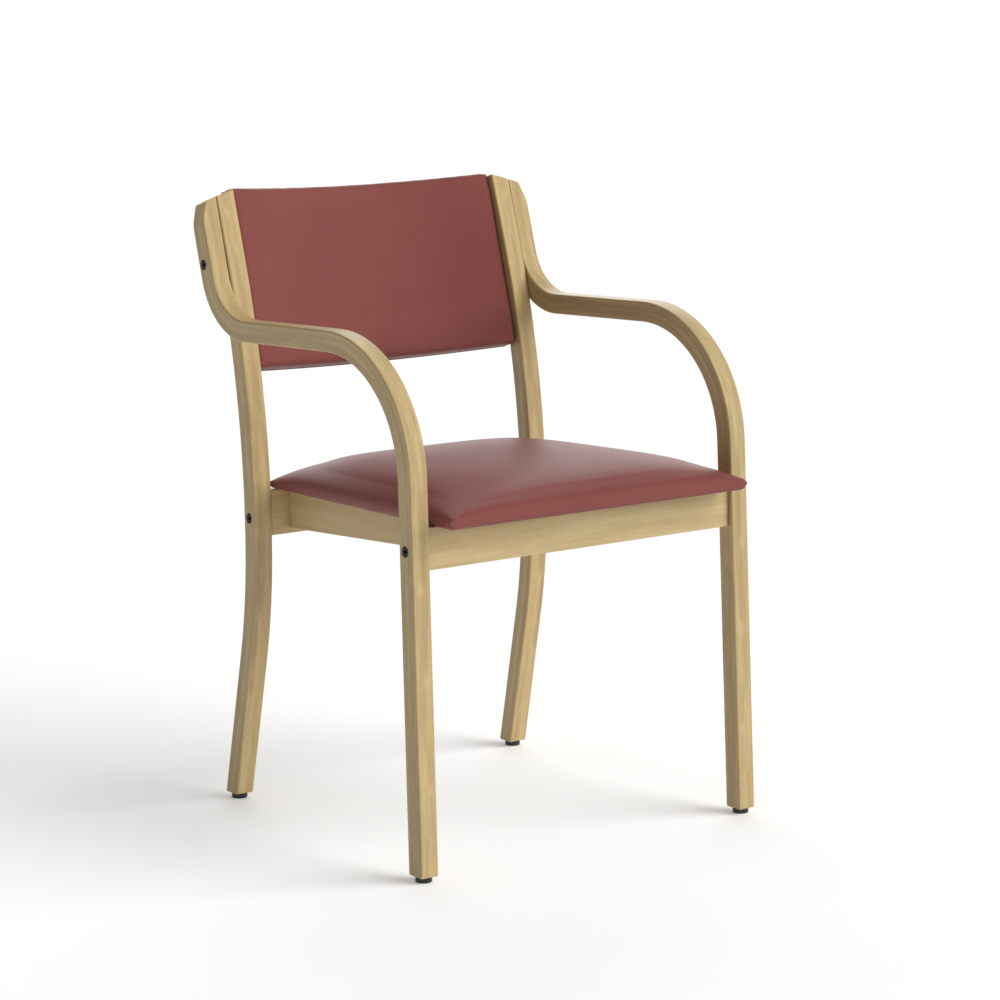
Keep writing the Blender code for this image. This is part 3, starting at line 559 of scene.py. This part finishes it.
def end_planes():
    """Tangent planes round a top end: the slope, a small corner, then the long shoulder."""
    taper = math.pi / 2 - math.atan(TOP_TAPER / TOP_TAPER_HEIGHT)
    shoulder = Vector((HALF_WIDTH - TOP_TAPER,
                       (LEG_INNER - HALF_WIDTH + TOP_TAPER) * math.tan(TOP_SLOPE)))
    side = Vector((HALF_WIDTH, shoulder.y - TOP_TAPER_HEIGHT))
    planes = []
    for corner, first, last, radius, steps in (
            (shoulder, TOP_SLOPE, taper, TOP_CORNER_RADIUS, 8),
            (side, taper, math.pi / 2, TOP_TAPER_RADIUS, 6)):
        one, two = facing(first), facing(last)
        centre = corner - radius * (one + two) / (1 + one.dot(two))
        for number in range(steps):
            way = facing(first + (last - first) * number / steps)
            planes.append((centre + radius * way, way))
    return planes


def back_face_y(z):
    return UPRIGHT_Y + (z - BACK_CORNER_Z) * math.tan(RECLINE)


def trim_top(piece, planes):
    """Saws the reclined top end to its planes."""
    up = Vector((0, math.sin(RECLINE), math.cos(RECLINE)))
    base = Vector((0, back_face_y(TOP_HEIGHT), TOP_HEIGHT))
    edit(piece)
    for point, way in planes:
        spot = base + Vector((point.x, 0, 0)) + up * point.y
        normal = Vector((way.x, 0, 0)) + up * way.y
        bpy.ops.mesh.select_all(action="SELECT")
        bpy.ops.mesh.bisect(plane_co=spot, plane_no=normal, use_fill=True, clear_outer=True,
                            threshold=0.000001)
    done()


def along_line(places, line):
    """Distance along a member's front face and depth behind it, for each place."""
    line = np.array([list(point) for point in line])
    starts, ends = line[:-1], line[1:]
    runs = ends - starts
    lengths = np.linalg.norm(runs, axis=1)
    keep = lengths > 1e-6
    starts, runs, lengths = starts[keep], runs[keep], lengths[keep]
    reach = np.concatenate([[0], np.cumsum(lengths)])[:-1]
    offset = places[:, None, 1:] - starts[None]
    share = np.clip((offset * runs[None]).sum(2) / lengths ** 2, 0, 1)
    gap = offset - share[..., None] * runs[None]
    best = np.argmin((gap ** 2).sum(2), axis=1)
    rows = np.arange(len(places))
    right = np.stack([runs[:, 1], -runs[:, 0]], 1) / lengths[:, None]
    depth = (gap[rows, best] * right[best]).sum(1)
    return reach[best] + share[rows, best] * lengths[best], depth


def bolt_cutter(spot, frame_matrix, face_x):
    """The cylinder that leaves a bolt's counterbore in an outer face."""
    past_face = 0.001
    nothing_selected()
    bpy.ops.mesh.primitive_cylinder_add(vertices=48, radius=COUNTERBORE_RADIUS,
                                        depth=2 * (COUNTERBORE_DEPTH + past_face),
                                        rotation=(0, math.pi / 2, 0),
                                        location=(face_x + past_face, *spot))
    cutter = started("counterbore")
    settle(cutter, frame_matrix)
    return cutter


def side_members():
    """Both members of both sides, sawn, rounded, drilled, and leaned in."""
    tip = (back_face_y(TOP_HEIGHT + TIP_ALLOWANCE), TOP_HEIGHT + TIP_ALLOWANCE)
    foot = (UPRIGHT_Y + (FOOT_CORNER_Z - LEG_BOTTOM) * math.tan(FOOT_SWEEP), LEG_BOTTOM)
    planes = end_planes()
    lean = Matrix.Rotation(-math.atan(SPLAY), 4, "Y")
    pivot = Matrix.Translation((HALF_WIDTH, 0, SPLAY_PIVOT))
    for kind, corners, radii, thickness, low_x, high_x, steps, cuts, material in (
            ("front_leg_arm", (*ARM_CORNERS, tip), (SHOULDER_RADIUS, ELBOW_RADIUS),
             ARM_THICKNESS, INNER_FACE, HALF_WIDTH, (36, 26), planes, beech_arm),
            ("back_leg", (foot, (UPRIGHT_Y, FOOT_CORNER_Z), (UPRIGHT_Y, BACK_CORNER_Z), tip),
             (FOOT_BEND_RADIUS, BACK_BEND_RADIUS), LEG_THICKNESS, LEG_INNER, LEG_OUTER,
             (16, 16), planes[:1], beech_leg)):
        piece, line = member(kind, corners, radii, thickness, low_x, high_x, iter(steps))
        trim_top(piece, cuts)
        outward(piece)
        rounded(piece, MEMBER_EDGE, 4)
        lift = SPLAY * (HALF_WIDTH - (low_x + high_x) / 2)
        stance = pivot @ lean @ Matrix.Translation((-HALF_WIDTH, -DEPTH_CENTRE,
                                                    lift - SPLAY_PIVOT))
        settle(piece, stance)
        if kind == "front_leg_arm":
            holes = ((FRONT_BOLT, SEAT_FRAME, HALF_WIDTH),
                     (BACK_BOLT, BACK_FRAME, BACK_BOLT_FACE))
        else:
            holes = ((REAR_BOLT, SEAT_FRAME, LEG_OUTER),)
        for hole in holes:
            cutter = bolt_cutter(*hole)
            drilled(piece, cutter)
            cast_off(cutter)
        back_out = np.array(stance.inverted())
        places = points(piece) @ back_out[:3, :3].T + back_out[:3, 3]
        along, depth = along_line(places, line)
        half = (high_x - low_x) / 2
        from_middle = np.abs(places[:, 0] - (low_x + high_x) / 2)
        side = np.clip((from_middle - half + SIDE_FACE_START) / SIDE_FACE_RUN, 0, 1)
        mark_grain(piece, np.stack([along, depth, places[:, 0]], 1), side)
        other = twin(piece, kind + "_right_side")
        piece.name = kind + "_left_side"
        for item, hand in ((other, "right"), (piece, "left")):
            smooth(item, 32)
            finished(item, material, "beech", "%s_%s" % (kind, hand))


# ---------------------------------------------------------------- rails
def rail(name, low, high, holes=()):
    """A rail in the seat frame's own place, with holes from below for its cross nuts."""
    nothing_selected()
    size = Vector(high) - Vector(low)
    bpy.ops.mesh.primitive_cube_add(size=1, location=(Vector(low) + Vector(high)) / 2)
    piece = started(name)
    piece.scale = size
    settle(piece)
    for x, y, top in holes:
        nothing_selected()
        bpy.ops.mesh.primitive_cylinder_add(vertices=32, radius=NUT_HOLE_RADIUS,
                                            depth=NUT_HOLE_DEPTH,
                                            location=(x, y, top - NUT_HOLE_DEPTH / 2))
        cutter = started("nut_hole")
        drilled(piece, cutter)
        cast_off(cutter)
    return piece


def chosen(piece, test):
    """Selects the vertices that pass the test, and nothing else, in edit mode."""
    hold(piece)
    bpy.ops.object.mode_set(mode="EDIT")
    bpy.ops.mesh.select_mode(type="VERT")
    bpy.ops.mesh.select_all(action="DESELECT")
    bpy.ops.object.mode_set(mode="OBJECT")
    for vertex in piece.data.vertices:
        vertex.select = test(vertex.co)
    bpy.ops.object.mode_set(mode="EDIT")


def seat_rails():
    front_half, rear_half = INNER_FACE - GAP, LEG_INNER - GAP
    front = rail("front_rail_beech", (-front_half, 0, -FRONT_RAIL_HEIGHT),
                 (front_half, RAIL_THICKNESS, 0),
                 [(side * (front_half - NUT_SETBACK), FRONT_BOLT[0], FRONT_NUT_TOP)
                  for _, side in SIDES])
    rear = rail("rear_rail_beech", (-rear_half, REAR_RAIL_AT, -REAR_RAIL_HEIGHT),
                (rear_half, REAR_RAIL_AT + RAIL_THICKNESS, 0),
                [(side * (rear_half - NUT_SETBACK), REAR_BOLT[0], REAR_NUT_TOP)
                 for _, side in SIDES])
    pieces = [(front, (0, 2, 1), "front_rail"), (rear, (0, 2, 1), "rear_rail")]
    start, end = RAIL_THICKNESS + GAP, REAR_RAIL_AT - GAP
    side_rail = rail("side_rail_beech", (SIDE_RAIL_OUTER - SIDE_RAIL_THICKNESS, start,
                                         -SIDE_RAIL_FRONT_HEIGHT), (SIDE_RAIL_OUTER, end, 0))
    chosen(side_rail, lambda place: place.z < -0.02 and place.y > 0.2)
    bpy.ops.transform.translate(value=(0, 0, SIDE_RAIL_FRONT_HEIGHT - SIDE_RAIL_REAR_HEIGHT))
    done()
    other = twin(side_rail, "side_rail_beech_right")
    pieces += [(side_rail, (1, 2, 0), "side_rail_left"), (other, (1, 2, 0), "side_rail_right")]
    for piece, axes, node in pieces:
        outward(piece)
        rounded(piece, 0.0014, 3, 40)
        mark_grain(piece, points(piece)[:, axes])
        settle(piece, SEAT_FRAME)
        smooth(piece, 32)
        finished(piece, beech_rail, "beech", node)


# ---------------------------------------------------------------- fittings
def bolt(name, node, spot, matrix, face_x, length, mirrored):
    """A socket-head bolt: head with a rounded rim, hexagon socket, and shank."""
    under = -COUNTERBORE_DEPTH + GAP
    nothing_selected()
    bpy.ops.mesh.primitive_cylinder_add(vertices=48, radius=HEAD_RADIUS, depth=HEAD_HEIGHT,
                                        location=(0, 0, under + HEAD_HEIGHT / 2))
    piece = started(name)
    rounded(piece, 0.0007, 3, 40)
    chosen(piece, lambda place: False)
    bpy.ops.mesh.select_mode(type="FACE")
    bpy.ops.object.mode_set(mode="OBJECT")
    for face in piece.data.polygons:
        face.select = face.normal.z < -0.9
    bpy.ops.object.mode_set(mode="EDIT")
    bpy.ops.mesh.inset(thickness=HEAD_RADIUS - SHANK_RADIUS)
    for drop in (length - HEAD_HEIGHT - SHANK_TIP, SHANK_TIP):
        bpy.ops.mesh.extrude_region_move(TRANSFORM_OT_translate={"value": (0, 0, -drop)})
    bpy.ops.transform.resize(value=(0.75, 0.75, 1))
    done()
    nothing_selected()
    bpy.ops.mesh.primitive_cylinder_add(vertices=6, radius=KEY_RADIUS, depth=2 * KEY_DEPTH,
                                        location=(0, 0, under + HEAD_HEIGHT))
    key = started("key")
    drilled(piece, key)
    cast_off(key)
    turn = Matrix.Rotation(math.pi / 2, 4, "Y")
    settle(piece, matrix @ Matrix.Translation((face_x, *spot)) @ turn)
    if mirrored:
        right = twin(piece, name + "_right")
        cast_off(piece)
        piece = right
    piece.name = name
    smooth(piece, 32)
    finished(piece, black_steel, "bolt", node)


def bolts():
    for hand, side in SIDES:
        for end, spot, matrix, face_x, rail_x in (
                ("front_rail", FRONT_BOLT, SEAT_FRAME, HALF_WIDTH, INNER_FACE - GAP),
                ("rear_rail", REAR_BOLT, SEAT_FRAME, LEG_OUTER, LEG_INNER - GAP),
                ("back", BACK_BOLT, BACK_FRAME, BACK_BOLT_FACE, BACK_HALF + 0.0185)):
            node = "%s_bolt_%s" % (end, hand)
            length = face_x - rail_x + BOLT_REACH
            bolt(node + "_head", node, spot, matrix, face_x, length, side < 0)


def glide_feet():
    for end in ("front", "rear"):
        for hand, _ in SIDES:
            node = "glide_%s_%s" % (end, hand)
            low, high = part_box(node)
            middle = (low + high) / 2
            nothing_selected()
            bpy.ops.mesh.primitive_cylinder_add(vertices=56, radius=GLIDE_RADIUS,
                                                depth=GLIDE_HEIGHT, location=middle)
            piece = started(node + "_turned")
            settle(piece)
            rounded(piece, 0.0012, 4, 40)
            for radius, top in ((0.0039, 0.0020), (0.0021, 0.020)):
                nothing_selected()
                bpy.ops.mesh.primitive_cylinder_add(vertices=32, radius=radius, depth=2 * top,
                                                    location=(middle.x, middle.y, 0))
                cutter = started("screw_hole")
                drilled(piece, cutter)
                cast_off(cutter)
            smooth(piece, 32)
            finished(piece, black_nylon, "glide", node)


# ---------------------------------------------------------------- upholstery
def evened(piece, values, rounds):
    """Values at the points, each drawn towards its neighbours' mean."""
    ends = np.empty(len(piece.data.edges) * 2, np.int32)
    piece.data.edges.foreach_get("vertices", ends)
    one, two = ends.reshape(-1, 2).T
    count = np.bincount(ends, minlength=len(values))[:, None].clip(1)
    for _ in range(rounds):
        total = np.zeros_like(values)
        for axis in range(3):
            total[:, axis] = (np.bincount(one, values[two, axis], len(values))
                              + np.bincount(two, values[one, axis], len(values)))
        values = 0.5 * values + 0.5 * total / count
    return values


CLOTH = {"quality": 6, "mass": 0.35, "tension_stiffness": 22, "compression_stiffness": 22,
         "shear_stiffness": 8, "bending_stiffness": 1.2, "use_pressure": True}
FRAMES = 20


def swollen(piece, pressure, fixed):
    """The cover's points once it has been blown up, with the fixed ones tacked down."""
    hold(piece)
    group = piece.vertex_groups.new(name="tacked")
    group.add([int(number) for number in np.nonzero(fixed)[0]], 1.0, "REPLACE")
    cloth = piece.modifiers.new("cover", "CLOTH")
    for setting, value in CLOTH.items():
        setattr(cloth.settings, setting, value)
    cloth.settings.uniform_pressure_force = pressure
    cloth.settings.vertex_group_mass = "tacked"
    cloth.settings.effector_weights.gravity = 0.0
    cloth.point_cache.frame_start = 1
    cloth.point_cache.frame_end = FRAMES
    for number in range(1, FRAMES + 1):
        bpy.context.scene.frame_set(number)
    graph = bpy.context.evaluated_depsgraph_get()
    places = vectors(piece.evaluated_get(graph).data.vertices, "co")
    piece.modifiers.remove(cloth)
    bpy.context.scene.frame_set(1)
    return places


def settled_cloth(piece, voxel, pressure, cap, held):
    """Blows the cover up over its foam, and evens and caps how far its points travel."""
    apply(piece, "REMESH", mode="VOXEL", voxel_size=voxel, adaptivity=0.0)
    start = points(piece)
    travel = evened(piece, swollen(piece, pressure, held(start)) - start, 40)
    far = np.linalg.norm(travel, axis=1, keepdims=True)
    travel *= np.minimum(1.0, cap / np.maximum(far, 1e-9))
    out = vectors(piece.data.vertices, "normal")
    most_inwards = 0.0004
    inwards = np.minimum(0.0, (travel * out).sum(1, keepdims=True) + most_inwards)
    travel -= inwards * out
    set_points(piece, start + travel)


def box_form(name, cuts, shape):
    """A cube cut into a fine grid, each point then moved by the shape."""
    nothing_selected()
    bpy.ops.mesh.primitive_cube_add(size=2)
    piece = started(name)
    if cuts:
        edit(piece)
        bpy.ops.mesh.select_all(action="SELECT")
        bpy.ops.mesh.subdivide(number_cuts=cuts)
        done()
    set_points(piece, shape(points(piece)))
    return piece


def seat_half(y):
    share = (y - PAD_FRONT) / (PAD_REAR - PAD_FRONT)
    return PAD_FRONT_HALF + (PAD_REAR_HALF - PAD_FRONT_HALF) * share


def dome(across, power, bite):
    return (1 - np.abs(across) ** power).clip(0, 1) ** bite


def seat_shape(cube):
    """Cube points to the crowned seat pad, a little inside its finished size."""
    u, v, w = cube.T
    u, v = 1.5 * u - 0.5 * u ** 3, 1.5 * v - 0.5 * v ** 3
    inset = 0.0022
    y = PAD_MIDDLE + v * (PAD_LENGTH / 2 - inset)
    half = seat_half(y) - inset
    rear = (v + 1) / 2
    corner = np.abs(u * v)
    rim = 0.0135 - 0.0040 * rear
    top = rim + (0.0485 - rim) * dome(u, 3.9, 0.50) * dome(v, 3.9, 0.50)
    level = (w + 1) / 2
    z = PAD_BOTTOM + level * (top - PAD_BOTTOM)
    tuck = 0.0010 * (1 - level) ** 2
    tip = 0.0034 * corner ** 16 * np.exp(-((level - 0.75) / 0.45) ** 2)
    x = u * half - np.sign(u) * (tuck * np.abs(u) ** 10 - tip)
    y = y - np.sign(v) * (tuck * np.abs(v) ** 10 - tip)
    return np.stack([x, y, z], 1)


def board_shape(cube, inset, low, high):
    """Cube points to a flat board under the pad."""
    u, v, w = cube.T
    y = PAD_MIDDLE + v * (PAD_LENGTH / 2 - inset)
    return np.stack([u * (seat_half(y) - inset), y, np.where(w < 0, low, high)], 1)


def crease(places, start, end, width, depth, normal):
    """A soft fold pressed in along a line."""
    start, end, normal = np.array(start), np.array(end), np.array(normal)
    run = end - start
    share = np.clip(((places - start) @ run) / (run @ run), 0, 1)
    away = np.linalg.norm(places - (start + share[:, None] * run), axis=1)
    press = depth * np.exp(-(away / width) ** 2) * np.sin(np.pi * (0.12 + 0.8 * share))
    return places - press[:, None] * normal


def seat_cushion():
    piece = box_form("seat_cushion", 40, seat_shape)
    settled_cloth(piece, 0.0050, 2.6, 0.0025, lambda place: place[:, 2] < BOARD_BOTTOM + 0.0030)
    apply(piece, "SUBSURF", levels=1, render_levels=1)
    places = points(piece)
    for side in (-1, 1):
        x_front = side * (seat_half(PAD_FRONT) - 0.002)
        places = crease(places, (x_front - side * 0.010, PAD_FRONT - 0.001, 0.001),
                        (x_front - side * 0.001, PAD_FRONT + 0.002, 0.019), 0.0020, 0.0020,
                        (0, -1, 0))
        y_side = PAD_FRONT + 0.118
        x_side = side * seat_half(y_side)
        places = crease(places, (x_side, y_side, 0.001), (x_side, y_side - 0.004, 0.020),
                        0.0038, 0.0020, (side, 0, 0))
    places[:, 2] = np.maximum(places[:, 2], PAD_BOTTOM)
    set_points(piece, places)
    for inset, top in ((BOARD_INSET, BOARD_TOP), (HEM_INSET, BOARD_BOTTOM - GAP)):
        recess = box_form("recess", 0, lambda cube: board_shape(
            cube, inset - GAP, -0.01, top + GAP))
        drilled(piece, recess)
        cast_off(recess)
    settle(piece, SEAT_FRAME)
    smooth(piece, 60)
    finished(piece, wine_vinyl, "vinyl", "seat_cover", "seat_foam")


def seat_board():
    """Plywood board inside the pad, its edges eased."""
    piece = box_form("seat_board_ply", 0, lambda cube: board_shape(
        cube, BOARD_INSET, BOARD_BOTTOM, BOARD_TOP))
    outward(piece)
    edit(piece)
    bpy.ops.mesh.select_all(action="SELECT")
    bpy.ops.mesh.bevel(offset=0.0015, segments=3)
    done()
    settle(piece, SEAT_FRAME)
    smooth(piece)
    finished(piece, plywood, "plywood", "seat_board")


def seat_hem():
    """The cover's edge, turned in and stapled under the board."""
    piece = box_form("seat_cover_hem", 30, lambda cube: board_shape(
        cube, HEM_INSET, PAD_BOTTOM, BOARD_BOTTOM - GAP))
    recess = box_form("hem_opening", 0, lambda cube: board_shape(
        cube, DUST_INSET - GAP, -0.01, 0.01))
    drilled(piece, recess)
    cast_off(recess)
    settle(piece, SEAT_FRAME)
    smooth(piece)
    finished(piece, wine_vinyl, "vinyl")


def dust_cover():
    """Black cloth under the board, hanging a little between its staples."""
    def shape(cube):
        u, v, w = cube.T
        place = board_shape(cube, DUST_INSET, 0.0008, 0.0014)
        ripple = 0.0003 * (np.sin(19 * v) * np.abs(u) ** 6 + np.sin(21 * u) * np.abs(v) ** 6)
        place[:, 2] -= 0.0030 * dome(u, 2.5, 1.0) * dome(v, 2.5, 1.0) + ripple
        return place
    piece = box_form("seat_dust_cloth", 60, shape)
    settle(piece, SEAT_FRAME)
    smooth(piece)
    finished(piece, dust_cloth, "dust_cloth", "seat_dust_cover")
    front_width = 2 * (seat_half(PAD_FRONT + DUST_INSET) - DUST_INSET)
    rear_width = 2 * (seat_half(PAD_REAR - DUST_INSET) - DUST_INSET)
    length = PAD_LENGTH - 2 * DUST_INSET
    length * (front_width + rear_width) / 2


def back_place(x, depth, z):
    """A point of the back pad, depth behind its curved front."""
    centre = BACK_SAGITTA - BACK_RADIUS
    angle = np.arcsin(np.clip(x / BACK_RADIUS, -1, 1))
    radius = BACK_RADIUS + depth
    y = centre + np.sqrt(radius ** 2 - (radius * np.sin(angle) * BACK_RADIUS / radius) ** 2)
    return np.stack([x, y, z], 1)


def back_reach(z):
    """Half width of the back pad between its leaning legs."""
    return BACK_HALF + 0.0003 + 0.0013 * (1 - z / BACK_HEIGHT)


def back_shape(cube):
    """Cube points to the curved back pad, a little inside its finished size."""
    u, v, w = cube.T
    front = (1 - v) / 2
    edge = 0.0004 + 0.0002 * front + 0.0012 * front ** 4
    x = u * (back_reach(BACK_HEIGHT / 2 * (1 + w)) - edge * np.abs(u) ** 12)
    roll = 0.0042 * np.abs(u) ** 8 + 0.0024 * np.abs(w) ** 9
    depth = BACK_BODY - (BACK_BODY - 0.0010 - roll) * front
    z = BACK_HEIGHT / 2 * (1 + w) - w * edge * np.abs(w) ** 11
    z += 0.0022 * np.clip(w, 0, 1) * front
    return back_place(x, depth, z)


def back_cushion():
    piece = box_form("back_cushion", 40, back_shape)
    centre = BACK_SAGITTA - BACK_RADIUS

    def held(place):
        return np.hypot(place[:, 0], place[:, 1] - centre) > BACK_RADIUS + BACK_BODY - 0.008
    settled_cloth(piece, 0.0045, 2.0, 0.0016, held)
    apply(piece, "SUBSURF", levels=1, render_levels=1)
    places = points(piece)
    flat = BACK_RADIUS + BACK_BODY
    over = np.hypot(places[:, 0], places[:, 1] - centre) > flat
    places[over, 1] = centre + np.sqrt(flat ** 2 - places[over, 0] ** 2)
    reach = back_reach(places[:, 2])
    places[:, 0] = np.clip(places[:, 0], -reach, reach)
    set_points(piece, places)
    settle(piece, BACK_FRAME)
    smooth(piece, 60)
    finished(piece, wine_vinyl, "vinyl", "back_cover", "back_foam")


def back_slab(name, low_x, high_x, front, rear, low_z, high_z, ease):
    """A slab bent to the back pad's curve, its edges eased."""
    def shape(cube):
        u, v, w = cube.T
        return back_place((low_x + high_x) / 2 + u * (high_x - low_x) / 2,
                          np.where(v < 0, front, rear), np.where(w < 0, low_z, high_z))
    nothing_selected()
    bpy.ops.mesh.primitive_cube_add(size=2)
    piece = started(name)
    edit(piece)
    for number in range(1, 32):
        bpy.ops.mesh.select_all(action="SELECT")
        bpy.ops.mesh.bisect(plane_co=(number / 16 - 1, 0, 0), plane_no=(1, 0, 0))
    done()
    set_points(piece, shape(points(piece)))
    outward(piece)
    rounded(piece, ease, 3, 50)
    return piece


def back_layers():
    """Rear panel, plywood shell and edge battens of the back pad."""
    pieces = [(back_slab("back_rear_cover", -BACK_HALF + 0.001, BACK_HALF - 0.001, BACK_BODY + GAP,
                         BACK_THICKNESS, 0.0008, BACK_HEIGHT - 0.0008, 0.0011),
               wine_vinyl, "vinyl", "back_rear_panel"),
              (back_slab("back_shell_ply", -BACK_HALF + 0.006, BACK_HALF - 0.006, 0.0205,
                         0.0297, 0.006, BACK_HEIGHT - 0.006, 0.0015),
               plywood, "plywood", "back_shell")]
    batten = back_slab("back_batten_left_beech", 0.1998, BACK_HALF - 0.006, 0.0090, 0.0202,
                       0.009, BACK_HEIGHT - 0.009, 0.0010)
    pieces += [(batten, block_wood, "batten", "back_batten_left"),
               (twin(batten, "back_batten_right_beech"), block_wood, "batten",
                "back_batten_right")]
    for piece, material, slot, node in pieces:
        settle(piece, BACK_FRAME)
        smooth(piece, 40)
        finished(piece, material, slot, node)


def cad_finishes():
    """Materials for the CAD pieces that stay as they are."""
    for name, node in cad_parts.items():
        if "block" in name or "dowel" in name or "batten" in name:
            material = block_wood
        elif name in ("seat_board", "back_shell"):
            material = plywood
        elif "screw" in name or "nut" in name:
            material = zinc_steel
        elif name == "seat_dust_cover":
            material = dust_cloth
        elif "foam" in name:
            material = foam_finish
        elif "bolt" in name:
            material = black_steel
        elif "glide" in name:
            material = black_nylon
        elif "cover" in name or "panel" in name:
            material = wine_vinyl
        else:
            material = beech_rail
        node.data.materials.clear()
        node.data.materials.append(material)


# ---------------------------------------------------------------- studio
def lamp(name, kind, place, aim, energy, **settings):
    light = bpy.data.lights.new(name, kind)
    light.energy = energy
    for setting, value in settings.items():
        setattr(light, setting, value)
    made = bpy.data.objects.new(name, light)
    bpy.context.scene.collection.objects.link(made)
    made.location = place
    made.rotation_euler = (Vector(aim) - Vector(place)).to_track_quat("-Z", "Y").to_euler()
    made.visible_camera = False
    return made


def studio():
    """A wide pale floor, a broad soft key from the sitter's left, and a soft light behind."""
    nothing_selected()
    bpy.ops.mesh.primitive_circle_add(vertices=96, radius=90, fill_type="NGON")
    floor = started("studio_floor")
    paper = Finish("studio_paper", (0.90, 0.90, 0.895), 0.85)
    paper.shader.inputs["Specular IOR Level"].default_value = 0.1
    paper.shader.inputs["Emission Color"].default_value = (1, 1, 0.99, 1)
    paper.shader.inputs["Emission Strength"].default_value = 0.12
    floor.data.materials.append(paper.material)
    world = bpy.data.worlds.new("studio")
    bpy.context.scene.world = world
    world.use_nodes = True
    world.node_tree.nodes["Background"].inputs["Color"].default_value = (1.0, 0.995, 0.985, 1)
    world.node_tree.nodes["Background"].inputs["Strength"].default_value = 0.36
    key = lamp("key", "SUN", (2.1, -2.3, 2.35), (0, 0, 0.4), 2.5, angle=math.radians(50))
    key.visible_glossy = False
    lamp("key_sheen", "SUN", (2.1, -2.3, 2.1), (0, 0, 0.4), 0.5, angle=math.radians(60))
    lamp("rim", "SUN", (2.6, 3.4, 1.7), (0, 0, 0.5), 1.5, angle=math.radians(60))


def camera():
    lens = bpy.data.cameras.new("camera")
    lens.lens = 115.14
    lens.sensor_width = 36
    lens.clip_end = 200
    view = bpy.data.objects.new("camera", lens)
    bpy.context.scene.collection.objects.link(view)
    view.location = (-2.5874, -3.5013, 1.2213)
    view.rotation_euler = (math.radians(90 - 10.288), 0, math.radians(-37.064))
    bpy.context.scene.camera = view


bpy.context.scene.view_settings.view_transform = "Standard"
camera()
studio()
cad_finishes()
side_members()
seat_rails()
bolts()
glide_feet()
seat_cushion()
seat_board()
seat_hem()
dust_cover()
back_cushion()
back_layers()
